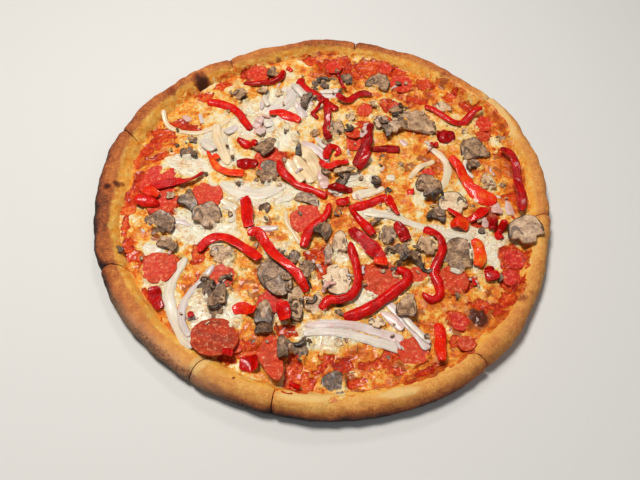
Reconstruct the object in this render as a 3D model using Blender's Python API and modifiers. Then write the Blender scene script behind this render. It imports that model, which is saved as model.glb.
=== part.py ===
"""A whole pizza cut in nine slices, with peppers, mushrooms, salami and onion on top.

Lengths are metres unless a name ends in MM. +Z is up and the base rests on z = 0.
"""

import math

import bmesh
import bpy
import numpy as np
from mathutils import Vector

MM = 0.001

# Dough section: a thin base with a raised rim. Rim places count inwards from
# the outer edge in rim widths, and rim heights are parts of the crest height.
BASE_THICK = 6.0 * MM
CREST = 22.0 * MM
NOMINAL_RADIUS = 206.0 * MM
NOMINAL_RIM = 23.0 * MM
SLOPE_FOOT = 1.15
RIM_SECTION = [
    (0.24, 0.0),
    (0.07, 0.14),
    (0.0, 0.40),
    (0.05, 0.68),
    (0.20, 0.91),
    (0.44, 1.0),
    (0.68, 0.90),
    (0.87, 0.68),
    (1.0, 0.46),
]
TURN_STEPS = 72

# The rim's outer radius and the radius where the cheese begins, in mm, read
# every 15 degrees counter-clockwise from +X.
OUTER_MM = [
    206, 209, 212, 207, 207, 207, 207, 201, 200, 204, 207, 210,
    208, 206, 206, 206, 205, 206, 207, 208, 209, 208, 206, 203,
]
INNER_MM = [
    183, 188, 190, 186, 186, 187, 187, 181, 179, 182, 183, 184,
    179, 184, 183, 183, 182, 184, 186, 187, 187, 187, 186, 183,
]
READING_STEP = 15.0

# Cheese
CHEESE_THICK = 4.6 * MM
CHEESE_SWELL = 0.7 * MM
GAP = 0.35 * MM

# Cuts: one crossing and a direction for each cut, in degrees. The widest
# slice, at the front, lies between the last cut and the first.
CUT_CROSSING = Vector((-12.0 * MM, -60.0 * MM, 0.0))
CUT_ANGLES = [-35.0, 11.0, 46.0, 81.0, 112.0, 146.0, 189.0, 234.0, 261.0]
CUT_GAP = 1.0 * MM

# Toppings
PEPPER_THICK = 4.6 * MM
ONION_THICK = 2.0 * MM
MUSHROOM_THICK = 3.0 * MM
SALAMI_THICK = 2.0 * MM
SALAMI_CURL = 0.6 * MM
STATION = 7.5 * MM
END_WIDTH = 0.62
SAG = 1.2 * MM
SAG_ROUNDS = 30
MAX_SLOPE = 0.30
SLOPE_TRIES = 13
SLOPE_COST = 2.0 * MM
ROUND_SIDES = 20

# Places of toppings are read in the plane of the cheese, seen from an eye
# above the front. What stands higher lies nearer to the eye's foot.
EYE_FOOT_MM = (-2.4, -341.7)
TOPPING_PULL = 0.9913

# Grid of heights that the toppings settle on
CELL = 1.0 * MM
GRID_HALF = 230

# Pepper strips from the bottom of the heap up: width in mm, then the middle
# line in mm.
PEPPERS = [
    (9, [(-122, 114), (-112, 113), (-98, 108), (-88, 100), (-82, 90), (-75, 78)]),
    (9, [(-27, 153), (-29, 145), (-22, 136), (-12, 130), (-2, 122), (5, 114), (10, 109)]),
    (7, [(-2, 119), (0, 108), (1, 95), (0, 82), (1, 70)]),
    (7, [(9, 126), (20, 122), (30, 130), (38, 134), (46, 132)]),
    (12, [(-58, 102), (-48, 103), (-38, 98), (-26, 92)]),
    (8, [(100, 118), (108, 115), (118, 106), (127, 99), (137, 98), (146, 107), (156, 112)]),
    (9, [(72, 60), (56, 60), (45, 58)]),
    (10, [(44, 92), (42, 80), (40, 68), (38, 56), (33, 46), (28, 38)]),
    (9, [(-114, 21), (-122, 14), (-131, 10), (-141, 8), (-151, 5), (-160, 1)]),
    (8, [(-114, 50), (-109, 40), (-103, 31), (-96, 26), (-87, 24), (-76, 24)]),
    (15, [(-73, -4), (-70, -15), (-68, -26), (-66, -37)]),
    (9, [(-107, -64), (-103, -55), (-95, -49), (-85, -49), (-75, -54), (-65, -61), (-53, -72)]),
    (9, [(-44, 37), (-42, 28), (-35, 20), (-25, 13), (-14, 7), (2, -1)]),
    (9, [(23, -13), (35, -9), (47, -3), (58, 2)]),
    (9, [(5, -10), (3, -20), (-2, -28), (-9, -35), (-14, -44), (-17, -56)]),
    (13, [(24, -35), (34, -45), (43, -55), (52, -67)]),
    (9, [(170, 63), (177, 55), (180, 44), (180, 30), (180, 16), (181, 4), (178, -13)]),
    (15, [(120, 50), (126, 40), (132, 27), (138, 14), (147, 5), (159, 0)]),
    (
        8,
        [
            (90, -32), (100, -38), (105, -47), (104, -57), (99, -68), (96, -78),
            (99, -88), (99, -99), (92, -103), (85, -97),
        ],
    ),
    (9, [(96, -124), (97, -135), (95, -147), (95, -160)]),
    (
        9,
        [
            (19, -122), (31, -118), (42, -112), (53, -104), (64, -95), (72, -88),
            (73, -79), (64, -76),
        ],
    ),
    (
        8,
        [
            (24, -52), (27, -64), (30, -76), (31, -90), (26, -102), (16, -107),
            (6, -108), (1, -117),
        ],
    ),
    (
        9,
        [
            (-66, -47), (-58, -44), (-51, -52), (-44, -63), (-36, -72), (-27, -80),
            (-19, -89), (-12, -101),
        ],
    ),
]

# Onion strips: width and middle line in mm.
ONIONS = [
    (5, [(-14, -136), (2, -134), (20, -135), (36, -139), (52, -144), (67, -149)]),
]

# Salami slices: centre and radius in mm.
SALAMI = [
    (-153, 10, 19),
    (-108, -4, 15),
    (-139, -81, 15),
    (-14, -26, 16),
    (-83, -145, 18),
    (52, -86, 17),
]

# A salami slice cut in half and folded at the front cut: outline in mm.
HALF_SALAMI = [
    (-38, -138), (-45, -145), (-49, -153), (-46, -164), (-38, -175),
    (-30, -182), (-26, -174), (-28, -163), (-31, -152), (-34, -144),
]

# Mushroom slices: centre, cap width and length in mm, direction from stalk
# to cap in degrees, and whether the stalk is there.
MUSHROOMS = [
    (88, 97, 44, 27, 80, False),
    (144, 64, 28, 25, 100, False),
    (178, -36, 31, 28, 95, True),
    (118, -60, 27, 36, 80, True),
    (118, -3, 28, 25, 100, True),
    (97, 17, 24, 24, 95, True),
    (-143, -33, 29, 17, 65, False),
    (-53, 26, 22, 26, 75, True),
    (-43, -82, 27, 24, 130, False),
    (-34, -97, 23, 19, -60, False),
    (13, -88, 25, 30, -70, True),
]


def read_radius(values_mm, angle):
    """Radius at an angle in radians, between the readings."""
    turns = math.degrees(angle) / READING_STEP
    first = math.floor(turns)
    share = turns - first
    ease = share * share * (3.0 - 2.0 * share)
    count = len(values_mm)
    low = values_mm[first % count]
    high = values_mm[(first + 1) % count]
    return (low + (high - low) * ease) * MM


def crest_scale(angle):
    """How much higher or lower the rim stands, part by part."""
    return 1.0 + 0.07 * math.sin(3.0 * angle + 0.6) + 0.04 * math.sin(7.0 * angle + 2.0)


def cheese_swell(x, y):
    """Gentle rise and fall of the cheese."""
    waves = math.sin(x * 61.0 + 1.3) * math.cos(y * 53.0) + 0.6 * math.sin(x * 23.0 + y * 37.0)
    return CHEESE_SWELL * waves / 1.6


def make_material(name, colour, roughness):
    """A plain non-metal material."""
    material = bpy.data.materials.new(name)
    material.use_nodes = True
    shader = material.node_tree.nodes["Principled BSDF"]
    shader.inputs["Base Color"].default_value = (*colour, 1.0)
    shader.inputs["Roughness"].default_value = roughness
    shader.inputs["Metallic"].default_value = 0.0
    return material


def turned_mesh(name, profile):
    """Turn a profile of (radius, height) pairs, given top to bottom outside."""
    mesh = bpy.data.meshes.new(name)
    verts = [(radius, 0.0, height) for radius, height in profile]
    edges = [(i, i + 1) for i in range(len(profile) - 1)]
    mesh.from_pydata(verts, edges, [])
    blank = bpy.data.objects.new(name, mesh)
    bpy.context.scene.collection.objects.link(blank)
    screw = blank.modifiers.new("Turn", "SCREW")
    screw.steps = TURN_STEPS
    screw.render_steps = TURN_STEPS
    screw.use_merge_vertices = True
    screw.merge_threshold = 0.0001
    graph = bpy.context.evaluated_depsgraph_get()
    turned = bpy.data.meshes.new_from_object(blank.evaluated_get(graph))
    bpy.data.objects.remove(blank)
    return turned


def follow_rim(mesh):
    """Fit a turned mesh to the uneven outline and crest."""
    nominal_foot = NOMINAL_RADIUS - SLOPE_FOOT * NOMINAL_RIM
    for vert in mesh.vertices:
        radius = math.hypot(vert.co.x, vert.co.y)
        if radius < MM:
            continue
        angle = math.atan2(vert.co.y, vert.co.x)
        outer = read_radius(OUTER_MM, angle)
        rim = outer - read_radius(INNER_MM, angle)
        foot = outer - SLOPE_FOOT * rim
        if radius > nominal_foot:
            inwards = (NOMINAL_RADIUS - radius) / NOMINAL_RIM
            target = outer - inwards * rim
            if vert.co.z > BASE_THICK:
                vert.co.z = BASE_THICK + (vert.co.z - BASE_THICK) * crest_scale(angle)
        else:
            target = radius * foot / nominal_foot
        vert.co.x = target * math.cos(angle)
        vert.co.y = target * math.sin(angle)


def dough_mesh():
    """The base with its raised rim, in one piece."""
    profile = [(0.0, BASE_THICK)]
    profile.append((NOMINAL_RADIUS * 0.45, BASE_THICK))
    profile.append((NOMINAL_RADIUS - SLOPE_FOOT * NOMINAL_RIM, BASE_THICK))
    for inwards, height in reversed(RIM_SECTION):
        profile.append((NOMINAL_RADIUS - inwards * NOMINAL_RIM, height * CREST))
    profile.append((0.0, 0.0))
    mesh = turned_mesh("dough_turned", profile)
    follow_rim(mesh)
    return mesh


def cheese_mesh():
    """The cheese over the base, up to the rim's inner slope."""
    top = BASE_THICK + GAP + CHEESE_THICK
    foot = NOMINAL_RADIUS - SLOPE_FOOT * NOMINAL_RIM - 2.0 * GAP
    lip = NOMINAL_RADIUS - NOMINAL_RIM - 2.0 * GAP
    lip_height = RIM_SECTION[-1][1] * CREST
    profile = [(0.0, top)]
    profile += [(NOMINAL_RADIUS * share, top) for share in (0.2, 0.4, 0.6, 0.75)]
    profile += [(lip - 5.0 * MM, top), (lip, lip_height), (foot, BASE_THICK + GAP)]
    profile.append((0.0, BASE_THICK + GAP))
    mesh = turned_mesh("cheese_turned", profile)
    follow_rim(mesh)
    for vert in mesh.vertices:
        reach = math.hypot(vert.co.x, vert.co.y) / NOMINAL_RADIUS
        if vert.co.z > top - MM and reach < 0.82:
            vert.co.z += cheese_swell(vert.co.x, vert.co.y)
    return mesh


def keep_side(bm, point, normal):
    """Cut with a plane, drop what the normal points at, and close the cut."""
    geometry = bm.verts[:] + bm.edges[:] + bm.faces[:]
    cut = bmesh.ops.bisect_plane(
        bm, geom=geometry, dist=1e-6, plane_co=point, plane_no=normal, clear_outer=True
    )
    rim_edges = [item for item in cut["geom_cut"] if isinstance(item, bmesh.types.BMEdge)]
    bmesh.ops.edgeloop_fill(bm, edges=rim_edges)


def slice_of(mesh, name, start, end):
    """The part of a mesh between two cuts, given as angles in degrees."""
    bm = bmesh.new()
    bm.from_mesh(mesh)
    low = math.radians(start)
    high = math.radians(end)
    first_normal = Vector((math.sin(low), -math.cos(low), 0.0))
    second_normal = Vector((-math.sin(high), math.cos(high), 0.0))
    keep_side(bm, CUT_CROSSING - first_normal * CUT_GAP / 2.0, first_normal)
    keep_side(bm, CUT_CROSSING - second_normal * CUT_GAP / 2.0, second_normal)
    bmesh.ops.recalc_face_normals(bm, faces=bm.faces[:])
    piece = bpy.data.meshes.new(name)
    bm.to_mesh(piece)
    bm.free()
    return piece


class Relief:
    """Heights of everything already in place, on a grid of cells."""

    def __init__(self):
        side = 2 * GRID_HALF
        self.height = np.zeros((side, side))

    def index(self, value):
        return np.floor(np.asarray(value) / CELL).astype(int) + GRID_HALF

    def stamp(self, mesh):
        """Raise the cells under a mesh to its top."""
        layer = np.zeros_like(self.height)
        mesh.calc_loop_triangles()
        for triangle in mesh.loop_triangles:
            corners = [mesh.vertices[i].co for i in triangle.vertices]
            longest = max((corners[i] - corners[i - 1]).length for i in range(3))
            steps = max(2, math.ceil(longest / (0.7 * CELL)))
            first, second = np.meshgrid(np.linspace(0, 1, steps), np.linspace(0, 1, steps))
            inside = first + second <= 1.0 + 1e-9
            first = first[inside]
            second = second[inside]
            third = 1.0 - first - second
            x, y, z = (
                first * corners[0][k] + second * corners[1][k] + third * corners[2][k]
                for k in range(3)
            )
            np.maximum.at(layer, (self.index(x), self.index(y)), z)
        wide = layer.copy()
        for dx in (-1, 0, 1):
            for dy in (-1, 0, 1):
                wide = np.maximum(wide, np.roll(layer, (dx, dy), (0, 1)))
        self.height = np.maximum(self.height, wide)

    def top(self, x, y, reach):
        """Highest point within reach of a place."""
        i, j = self.index(x), self.index(y)
        cells = math.ceil(reach / CELL)
        return float(self.height[i - cells:i + cells + 1, j - cells:j + cells + 1].max())


def topping_place(point_mm):
    """A reading in mm turned into a place in metres at topping height."""
    x = EYE_FOOT_MM[0] + (point_mm[0] - EYE_FOOT_MM[0]) * TOPPING_PULL
    y = EYE_FOOT_MM[1] + (point_mm[1] - EYE_FOOT_MM[1]) * TOPPING_PULL
    return Vector((x * MM, y * MM))


def smooth_line(points):
    """Even stations on a smooth curve through the points."""
    padded = [2 * points[0] - points[1]] + points + [2 * points[-1] - points[-2]]
    fine = []
    for a, b, c, d in zip(padded, padded[1:], padded[2:], padded[3:]):
        for step in range(10):
            t = step / 10.0
            fine.append(
                0.5 * (2 * b + (c - a) * t + (2 * a - 5 * b + 4 * c - d) * t * t
                       + (3 * b - a - 3 * c + d) * t * t * t)
            )
    fine.append(points[-1])
    lengths = [0.0]
    for a, b in zip(fine, fine[1:]):
        lengths.append(lengths[-1] + (b - a).length)
    count = max(3, math.ceil(lengths[-1] / STATION) + 1)
    stops = np.linspace(0.0, lengths[-1], count)
    xs = np.interp(stops, lengths, [p.x for p in fine])
    ys = np.interp(stops, lengths, [p.y for p in fine])
    return [Vector((x, y)) for x, y in zip(xs, ys)]


def floor_under(line, i, width, relief):
    """Highest thing under a strip from the station before to the one after."""
    before = line[max(i - 1, 0)]
    after = line[min(i + 1, len(line) - 1)]
    side = Vector((before.y - after.y, after.x - before.x)).normalized()
    highest = 0.0
    for start, end in ((before, line[i]), (line[i], after)):
        for along in np.linspace(0.0, 1.0, 5):
            for across in np.linspace(-0.5, 0.5, 5):
                spot = start.lerp(end, along) + side * across * width
                highest = max(highest, relief.top(spot.x, spot.y, 1.5 * CELL))
    return highest


def rest_heights(line, width, relief):
    """Heights of a limp strip: up over each obstacle, sagging between them."""
    floor = [floor_under(line, i, width, relief) + GAP for i in range(len(line))]
    heights = floor[:]
    for _ in range(SAG_ROUNDS):
        for i in range(1, len(line) - 1):
            heights[i] = max(floor[i], (heights[i - 1] + heights[i + 1]) / 2.0 - SAG)
    return heights


def strip_section(width, thick):
    """Arched section of a strip: outer skin over, hollow inner side under."""
    half = width / 2.0
    return [
        (-half, thick * 0.30),
        (-half * 0.55, thick * 0.90),
        (half * 0.05, thick),
        (half * 0.60, thick * 0.88),
        (half, thick * 0.28),
        (half * 0.80, 0.0),
        (0.0, thick * 0.22),
        (-half * 0.80, 0.0),
    ]


def strip_mesh(name, width, line, heights, thick):
    """Loft the section along the line, narrowing at the ends."""
    bm = bmesh.new()
    rings = []
    last = len(line) - 1
    for i, place in enumerate(line):
        ahead = line[min(i + 1, last)] - line[max(i - 1, 0)]
        side = Vector((-ahead.y, ahead.x)).normalized()
        narrow = END_WIDTH if i in (0, last) else 1.0
        ring = []
        for across, up in strip_section(width * narrow, thick):
            spot = place + side * across
            ring.append(bm.verts.new((spot.x, spot.y, heights[i] + up)))
        rings.append(ring)
    for ring, following in zip(rings, rings[1:]):
        for k in range(len(ring)):
            bm.faces.new((ring[k - 1], ring[k], following[k], following[k - 1]))
    for ring in (rings[0], rings[-1]):
        bm.faces.new(ring)
    bmesh.ops.recalc_face_normals(bm, faces=bm.faces[:])
    mesh = bpy.data.meshes.new(name)
    bm.to_mesh(mesh)
    bm.free()
    return mesh


def settle(outline, relief):
    """Lowest tilted plane that clears everything under an outline."""
    middle = sum(outline, Vector((0.0, 0.0))) / len(outline)
    probes = []
    for share in (0.0, 0.35, 0.7, 1.0):
        probes += [middle.lerp(point, share) for point in outline]
    offsets = np.array([[p.x - middle.x, p.y - middle.y] for p in probes])
    heights = np.array([relief.top(p.x, p.y, 2.5 * MM) for p in probes])
    best = None
    slopes = np.linspace(-MAX_SLOPE, MAX_SLOPE, SLOPE_TRIES)
    for slope_x in slopes:
        for slope_y in slopes:
            lift = float((heights - offsets @ np.array([slope_x, slope_y])).max())
            cost = lift + SLOPE_COST * (slope_x ** 2 + slope_y ** 2)
            if best is None or cost < best[0]:
                best = (cost, lift + GAP, slope_x, slope_y)
    return middle, best


def lay_flat(mesh, outline, relief):
    """Put a flat piece, modelled from z = 0 up, on what lies below it."""
    middle, (_, lift, slope_x, slope_y) = settle(outline, relief)
    for vert in mesh.vertices:
        rise = (vert.co.x - middle.x) * slope_x + (vert.co.y - middle.y) * slope_y
        vert.co.z += lift + rise


def outline_mesh(name, outline, thick):
    """A closed plate from a flat outline, from z = 0 up."""
    curve = bpy.data.curves.new(name, "CURVE")
    curve.dimensions = "2D"
    curve.fill_mode = "BOTH"
    curve.extrude = thick / 2.0
    spline = curve.splines.new("POLY")
    spline.points.add(len(outline) - 1)
    for point, place in zip(spline.points, outline):
        point.co = (place.x, place.y, 0.0, 1.0)
    spline.use_cyclic_u = True
    blank = bpy.data.objects.new(name, curve)
    bpy.context.scene.collection.objects.link(blank)
    graph = bpy.context.evaluated_depsgraph_get()
    mesh = bpy.data.meshes.new_from_object(blank.evaluated_get(graph))
    bpy.data.objects.remove(blank)
    bm = bmesh.new()
    bm.from_mesh(mesh)
    bmesh.ops.remove_doubles(bm, verts=bm.verts[:], dist=1e-6)
    bmesh.ops.translate(bm, verts=bm.verts[:], vec=(0.0, 0.0, thick / 2.0))
    bmesh.ops.recalc_face_normals(bm, faces=bm.faces[:])
    bm.to_mesh(mesh)
    bm.free()
    return mesh


def mushroom_outline(centre, width, length, heading, stalk):
    """Slice through a mushroom: domed cap, curled under, with or without stalk."""
    cap_share = 0.58 if stalk else 1.0
    cap_low = 0.5 - cap_share
    dome = []
    for step in range(11):
        turn = math.pi * step / 10.0
        dome.append((0.5 * math.cos(turn), cap_low + cap_share * math.sin(turn) ** 0.8))
    if stalk:
        under = [(-0.40, cap_low - 0.07), (-0.17, cap_low), (-0.14, -0.36), (-0.19, -0.5)]
    else:
        under = [(-0.36, cap_low - 0.04), (-0.15, cap_low + 0.08)]
    points = dome + under + [(-x, y) for x, y in reversed(under)]
    turn = math.radians(heading - 90.0)
    outline = []
    for x, y in points:
        across = x * width * MM
        along = y * length * MM
        outline.append(
            centre
            + Vector((across * math.cos(turn) - along * math.sin(turn),
                      across * math.sin(turn) + along * math.cos(turn)))
        )
    return outline


def salami_mesh(name, centre, radius):
    """A thin disc whose edge has curled up a little."""
    bm = bmesh.new()
    bmesh.ops.create_cone(
        bm,
        cap_ends=True,
        segments=ROUND_SIDES,
        radius1=radius * 0.97,
        radius2=radius,
        depth=SALAMI_THICK,
    )
    top = max(bm.faces, key=lambda face: face.calc_center_median().z)
    bmesh.ops.inset_region(bm, faces=[top], thickness=3.0 * MM)
    for vert in top.verts:
        vert.co.z -= SALAMI_CURL
    bmesh.ops.translate(bm, verts=bm.verts[:], vec=(centre.x, centre.y, SALAMI_THICK / 2.0))
    mesh = bpy.data.meshes.new(name)
    bm.to_mesh(mesh)
    bm.free()
    return mesh


def circle_outline(centre, radius):
    turns = [math.tau * step / ROUND_SIDES for step in range(ROUND_SIDES)]
    return [centre + Vector((radius * math.cos(t), radius * math.sin(t))) for t in turns]


def place_piece(mesh, material, collection):
    mesh.materials.clear()
    mesh.materials.append(material)
    piece = bpy.data.objects.new(mesh.name, mesh)
    collection.objects.link(piece)
    return piece


def build_slices(collection, relief):
    """Dough and cheese of every slice."""
    dough_look = make_material("baked_dough", (0.62, 0.34, 0.13), 0.75)
    cheese_look = make_material("melted_cheese", (0.85, 0.66, 0.36), 0.45)
    dough = dough_mesh()
    cheese = cheese_mesh()
    ends = CUT_ANGLES[1:] + [CUT_ANGLES[0] + 360.0]
    for number, (start, end) in enumerate(zip(CUT_ANGLES, ends), start=1):
        base = slice_of(dough, f"slice_{number}_dough", start, end)
        layer = slice_of(cheese, f"slice_{number}_cheese", start, end)
        place_piece(base, dough_look, collection)
        place_piece(layer, cheese_look, collection)
        relief.stamp(base)
        relief.stamp(layer)


def build_salami(collection, relief):
    look = make_material("salami", (0.66, 0.13, 0.07), 0.4)
    for number, (x, y, radius) in enumerate(SALAMI, start=1):
        centre = topping_place((x, y))
        mesh = salami_mesh(f"salami_{number}", centre, radius * MM)
        lay_flat(mesh, circle_outline(centre, radius * MM), relief)
        place_piece(mesh, look, collection)
        relief.stamp(mesh)
    outline = [topping_place(point) for point in HALF_SALAMI]
    mesh = outline_mesh("salami_half", outline, SALAMI_THICK)
    lay_flat(mesh, outline, relief)
    place_piece(mesh, look, collection)
    relief.stamp(mesh)


def build_mushrooms(collection, relief):
    look = make_material("mushroom", (0.42, 0.31, 0.22), 0.6)
    for number, (x, y, width, length, heading, stalk) in enumerate(MUSHROOMS, start=1):
        outline = mushroom_outline(topping_place((x, y)), width, length, heading, stalk)
        mesh = outline_mesh(f"mushroom_{number}", outline, MUSHROOM_THICK)
        lay_flat(mesh, outline, relief)
        place_piece(mesh, look, collection)
        relief.stamp(mesh)


def build_strips(collection, relief, kind, strips, thick, look):
    for number, (width, points) in enumerate(strips, start=1):
        line = smooth_line([topping_place(point) for point in points])
        heights = rest_heights(line, width * MM, relief)
        mesh = strip_mesh(f"{kind}_{number}", width * MM, line, heights, thick)
        place_piece(mesh, look, collection)
        relief.stamp(mesh)


def centre_pieces(pieces):
    """Shift everything so that the whole stands over the origin."""
    corners = [vert.co for piece in pieces for vert in piece.data.vertices]
    middle_x = (min(c.x for c in corners) + max(c.x for c in corners)) / 2.0
    middle_y = (min(c.y for c in corners) + max(c.y for c in corners)) / 2.0
    for piece in pieces:
        for vert in piece.data.vertices:
            vert.co.x -= middle_x
            vert.co.y -= middle_y


def main():
    for item in list(bpy.data.objects):
        bpy.data.objects.remove(item)
    collection = bpy.data.collections.new("pizza")
    bpy.context.scene.collection.children.link(collection)
    relief = Relief()
    build_slices(collection, relief)
    build_salami(collection, relief)
    build_mushrooms(collection, relief)
    onion_look = make_material("onion", (0.80, 0.68, 0.55), 0.35)
    pepper_look = make_material("red_pepper", (0.62, 0.03, 0.015), 0.25)
    build_strips(collection, relief, "onion", ONIONS, ONION_THICK, onion_look)
    build_strips(collection, relief, "pepper", PEPPERS, PEPPER_THICK, pepper_look)
    centre_pieces(list(collection.objects))


main()
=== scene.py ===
import bpy
import math
import numpy as np
from mathutils import Matrix, Vector, noise
from mathutils.bvhtree import BVHTree


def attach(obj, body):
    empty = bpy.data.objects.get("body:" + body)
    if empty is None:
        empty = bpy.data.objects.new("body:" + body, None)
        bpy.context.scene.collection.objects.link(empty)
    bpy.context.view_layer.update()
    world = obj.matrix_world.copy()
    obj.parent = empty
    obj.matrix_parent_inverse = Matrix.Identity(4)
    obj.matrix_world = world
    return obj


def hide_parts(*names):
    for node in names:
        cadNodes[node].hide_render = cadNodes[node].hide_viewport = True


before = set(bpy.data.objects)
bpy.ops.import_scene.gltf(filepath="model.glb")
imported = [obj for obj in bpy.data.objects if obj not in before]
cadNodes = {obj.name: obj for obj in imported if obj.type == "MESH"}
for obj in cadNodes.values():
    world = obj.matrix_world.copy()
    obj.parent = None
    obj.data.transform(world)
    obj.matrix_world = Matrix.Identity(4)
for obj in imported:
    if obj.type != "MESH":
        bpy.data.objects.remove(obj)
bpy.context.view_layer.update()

mm = 0.001
print("frame loaded,", len(cadNodes), "nodes")

# Places are read in mm in the plane of the cheese, from an eye above the front.
# What stands higher lies nearer to the eye's foot, hence the pull.
eye = {"foot": (-2.4, -341.7), "height": 470.7, "tilt": 57.528, "roll": 1.95, "lens": 35.0,
       "pull": 0.9913, "shift": 1.0}

# The rim's section goes from the outer foot over the crest, as shares of the rim's width
# and of its height. Radii are in mm, every 15 degrees from +X. Noise is listed as bump
# size in mm, where it starts and how much it adds.
dough = {"base": 6.0 * mm, "crest": 22.0 * mm, "foot": 1.15, "turns": 1300, "rows": 58,
         "gap": 1.0 * mm, "cutSink": 1.5 * mm, "cutSoft": 2.6 * mm, "bulge": 9.0 * mm,
         "liftFrom": 1.5 * mm, "liftOver": 8.0 * mm, "blisterFrom": 5.0 * mm, "sharp": 50.0,
         "lumps": [(34.0, 3.0, 1.5), (12.0, 9.0, 0.9), (5.0, 5.0, 0.42)],
         "section": [(0.24, 0.0), (0.07, 0.14), (0.0, 0.40), (0.05, 0.68), (0.20, 0.91),
                     (0.44, 1.0), (0.68, 0.90), (0.87, 0.68), (1.0, 0.46), (1.15, 0.27)],
         "outer": [206, 209, 212, 207, 207, 207, 207, 201, 200, 204, 207, 210,
                   208, 206, 206, 206, 205, 206, 207, 208, 209, 208, 206, 203],
         "inner": [183, 188, 190, 186, 186, 187, 187, 181, 179, 182, 183, 184,
                   179, 184, 183, 183, 182, 184, 186, 187, 187, 187, 186, 183],
         "crossing": (-11.0 * mm, -60.0 * mm),
         "cuts": [-35.0, 11.0, 46.0, 81.0, 112.0, 146.0, 189.0, 234.0, 261.0]}

# Blisters on the rim: place, radius and rise in mm, then how dark they are.
blisters = [(-130, 137, 9, 2.2, 1.0), (-158, 118, 6, 1.2, 0.6), (-158, 93, 4, 0.6, 0.4),
            (-152, 103, 3, 0.5, 0.4), (-197, -3, 4, 0.5, 1.0), (-190, 2, 4, 0.6, 0.75),
            (-186, 4, 3, 0.4, 0.6), (-200, 62, 2, 0.3, 0.5), (-52, 176, 5, 0.8, 0.7),
            (120, 158, 4, 0.5, 0.5), (186, 15, 4, 0.4, 0.35), (166, -101, 5, 1.0, 0.55),
            (190, -18, 4, 0.3, 0.4), (60, 192, 4, 0.3, 0.3), (-119, -133, 1.6, 0.2, 0.9),
            (-64, -179, 1.3, 0.2, 0.9), (174, -96, 3, 0.4, 0.4), (-183, -90, 4, 0.3, 0.45)]

# How dark the rim is painted, from 0, pale, to 1, nearly black. Low outside it is darker, part browning
# and part painted shade, from two heights downwards, each with its depth and share.
browningAndShade = {"all": 0.41, "low": 0.10, "inner": 0.25, "side": 0.72, "cut": 0.10, "cutSoft": 3.0 * mm,
            "below": 0.55, "patches": [(46.0, 21.0, 0.14)], "patchesBelow": [(20.0, 31.0, 0.25)],
            "heights": [(21.5 * mm, 4.0 * mm, 0.35), (17.0 * mm, 8.0 * mm, 0.65)], "lowUntil": 0.42,
            "flour": {"side": 232.0, "spread": 24.0}}

# What each side of the rim adds: degrees, spread, more on top, more low outside. The low outside
# share is part browning and part painted shade and painted light, set for how light falls on each side.
crustSides = [(188, 24, 0.20, 1.05), (212, 20, 0.14, 0.95), (240, 20, -0.10, 0.60),
              (270, 24, -0.20, 0.60), (300, 20, -0.12, 0.28), (325, 22, -0.04, -0.50),
              (345, 8, -0.16, -0.20), (30, 9, -0.16, 0.0), (105, 7, -0.16, 0.0), (270, 8, -0.14, 0.0),
              (0, 30, -0.06, 0.10), (88, 40, 0.20, 0.15), (150, 28, 0.18, 0.22)]

# Cheese that ran on to the crust: middle, half width and half length in mm, turn.
cheeseSpills = [(-8, -191, 16, 4, 0), (172, 104, 5, 26, 22), (-91, -168, 4, 10, -32), (60, -186, 12, 3, 12)]

# The edge is where the cheese ends, read like the dough's radii. The cheese rises a
# little where it wets toppings. It creeps over the edges of low ones, which is where
# they cover more than the first and less than the second of two shares of what is near.
cheese = {"level": 10.95 * mm, "swell": 0.7 * mm, "cell": 1.0 * mm, "film": 0.9 * mm,
          "side": 206.0 * mm, "gap": 0.12 * mm, "cutSink": 0.5 * mm, "cutSoft": 1.6 * mm,
          "lumps": [(24.0, 61.0, 0.9), (9.0, 63.0, 0.95), (4.2, 67.0, 0.45)],
          "wander": [(13.0, 51.0, 1.8), (5.0, 57.0, 0.8)],
          "bendX": [(13.0, 71.0, 5.0), (5.0, 73.0, 3.0)],
          "bendY": [(13.0, 77.0, 5.0), (5.0, 79.0, 3.0)],
          "creep": [(12.0, 83.0, 6.0), (4.5, 89.0, 4.0)], "climb": 4.5 * mm, "wet": 1.2 * mm,
          "covered": (0.30, 0.985), "beyond": 6.0 * mm, "over": 0.5 * mm,
          "underLow": 0.45 * mm, "underHigh": 0.8 * mm, "filmSoft": 1.5 * mm, "dive": 0.5 * mm,
          "greaseWide": 16.0 * mm, "toastAndShadeWide": 4.0 * mm, "clear": 0.35 * mm,
          "soft": {"sauce": 2.2, "grease": 1.2, "toastAndShade": 1.6, "pale": 1.6, "spill": 0.9},
          "bubble": {"place": (130, -117), "radius": 10.0 * mm, "rise": 2.6, "rough": 1.6},
          "edge": [184, 191, 199, 194, 190, 189, 188, 182, 184, 187, 183, 184,
                   178, 185, 182, 182, 183, 187, 199, 191, 193, 192, 193, 187]}

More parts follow.
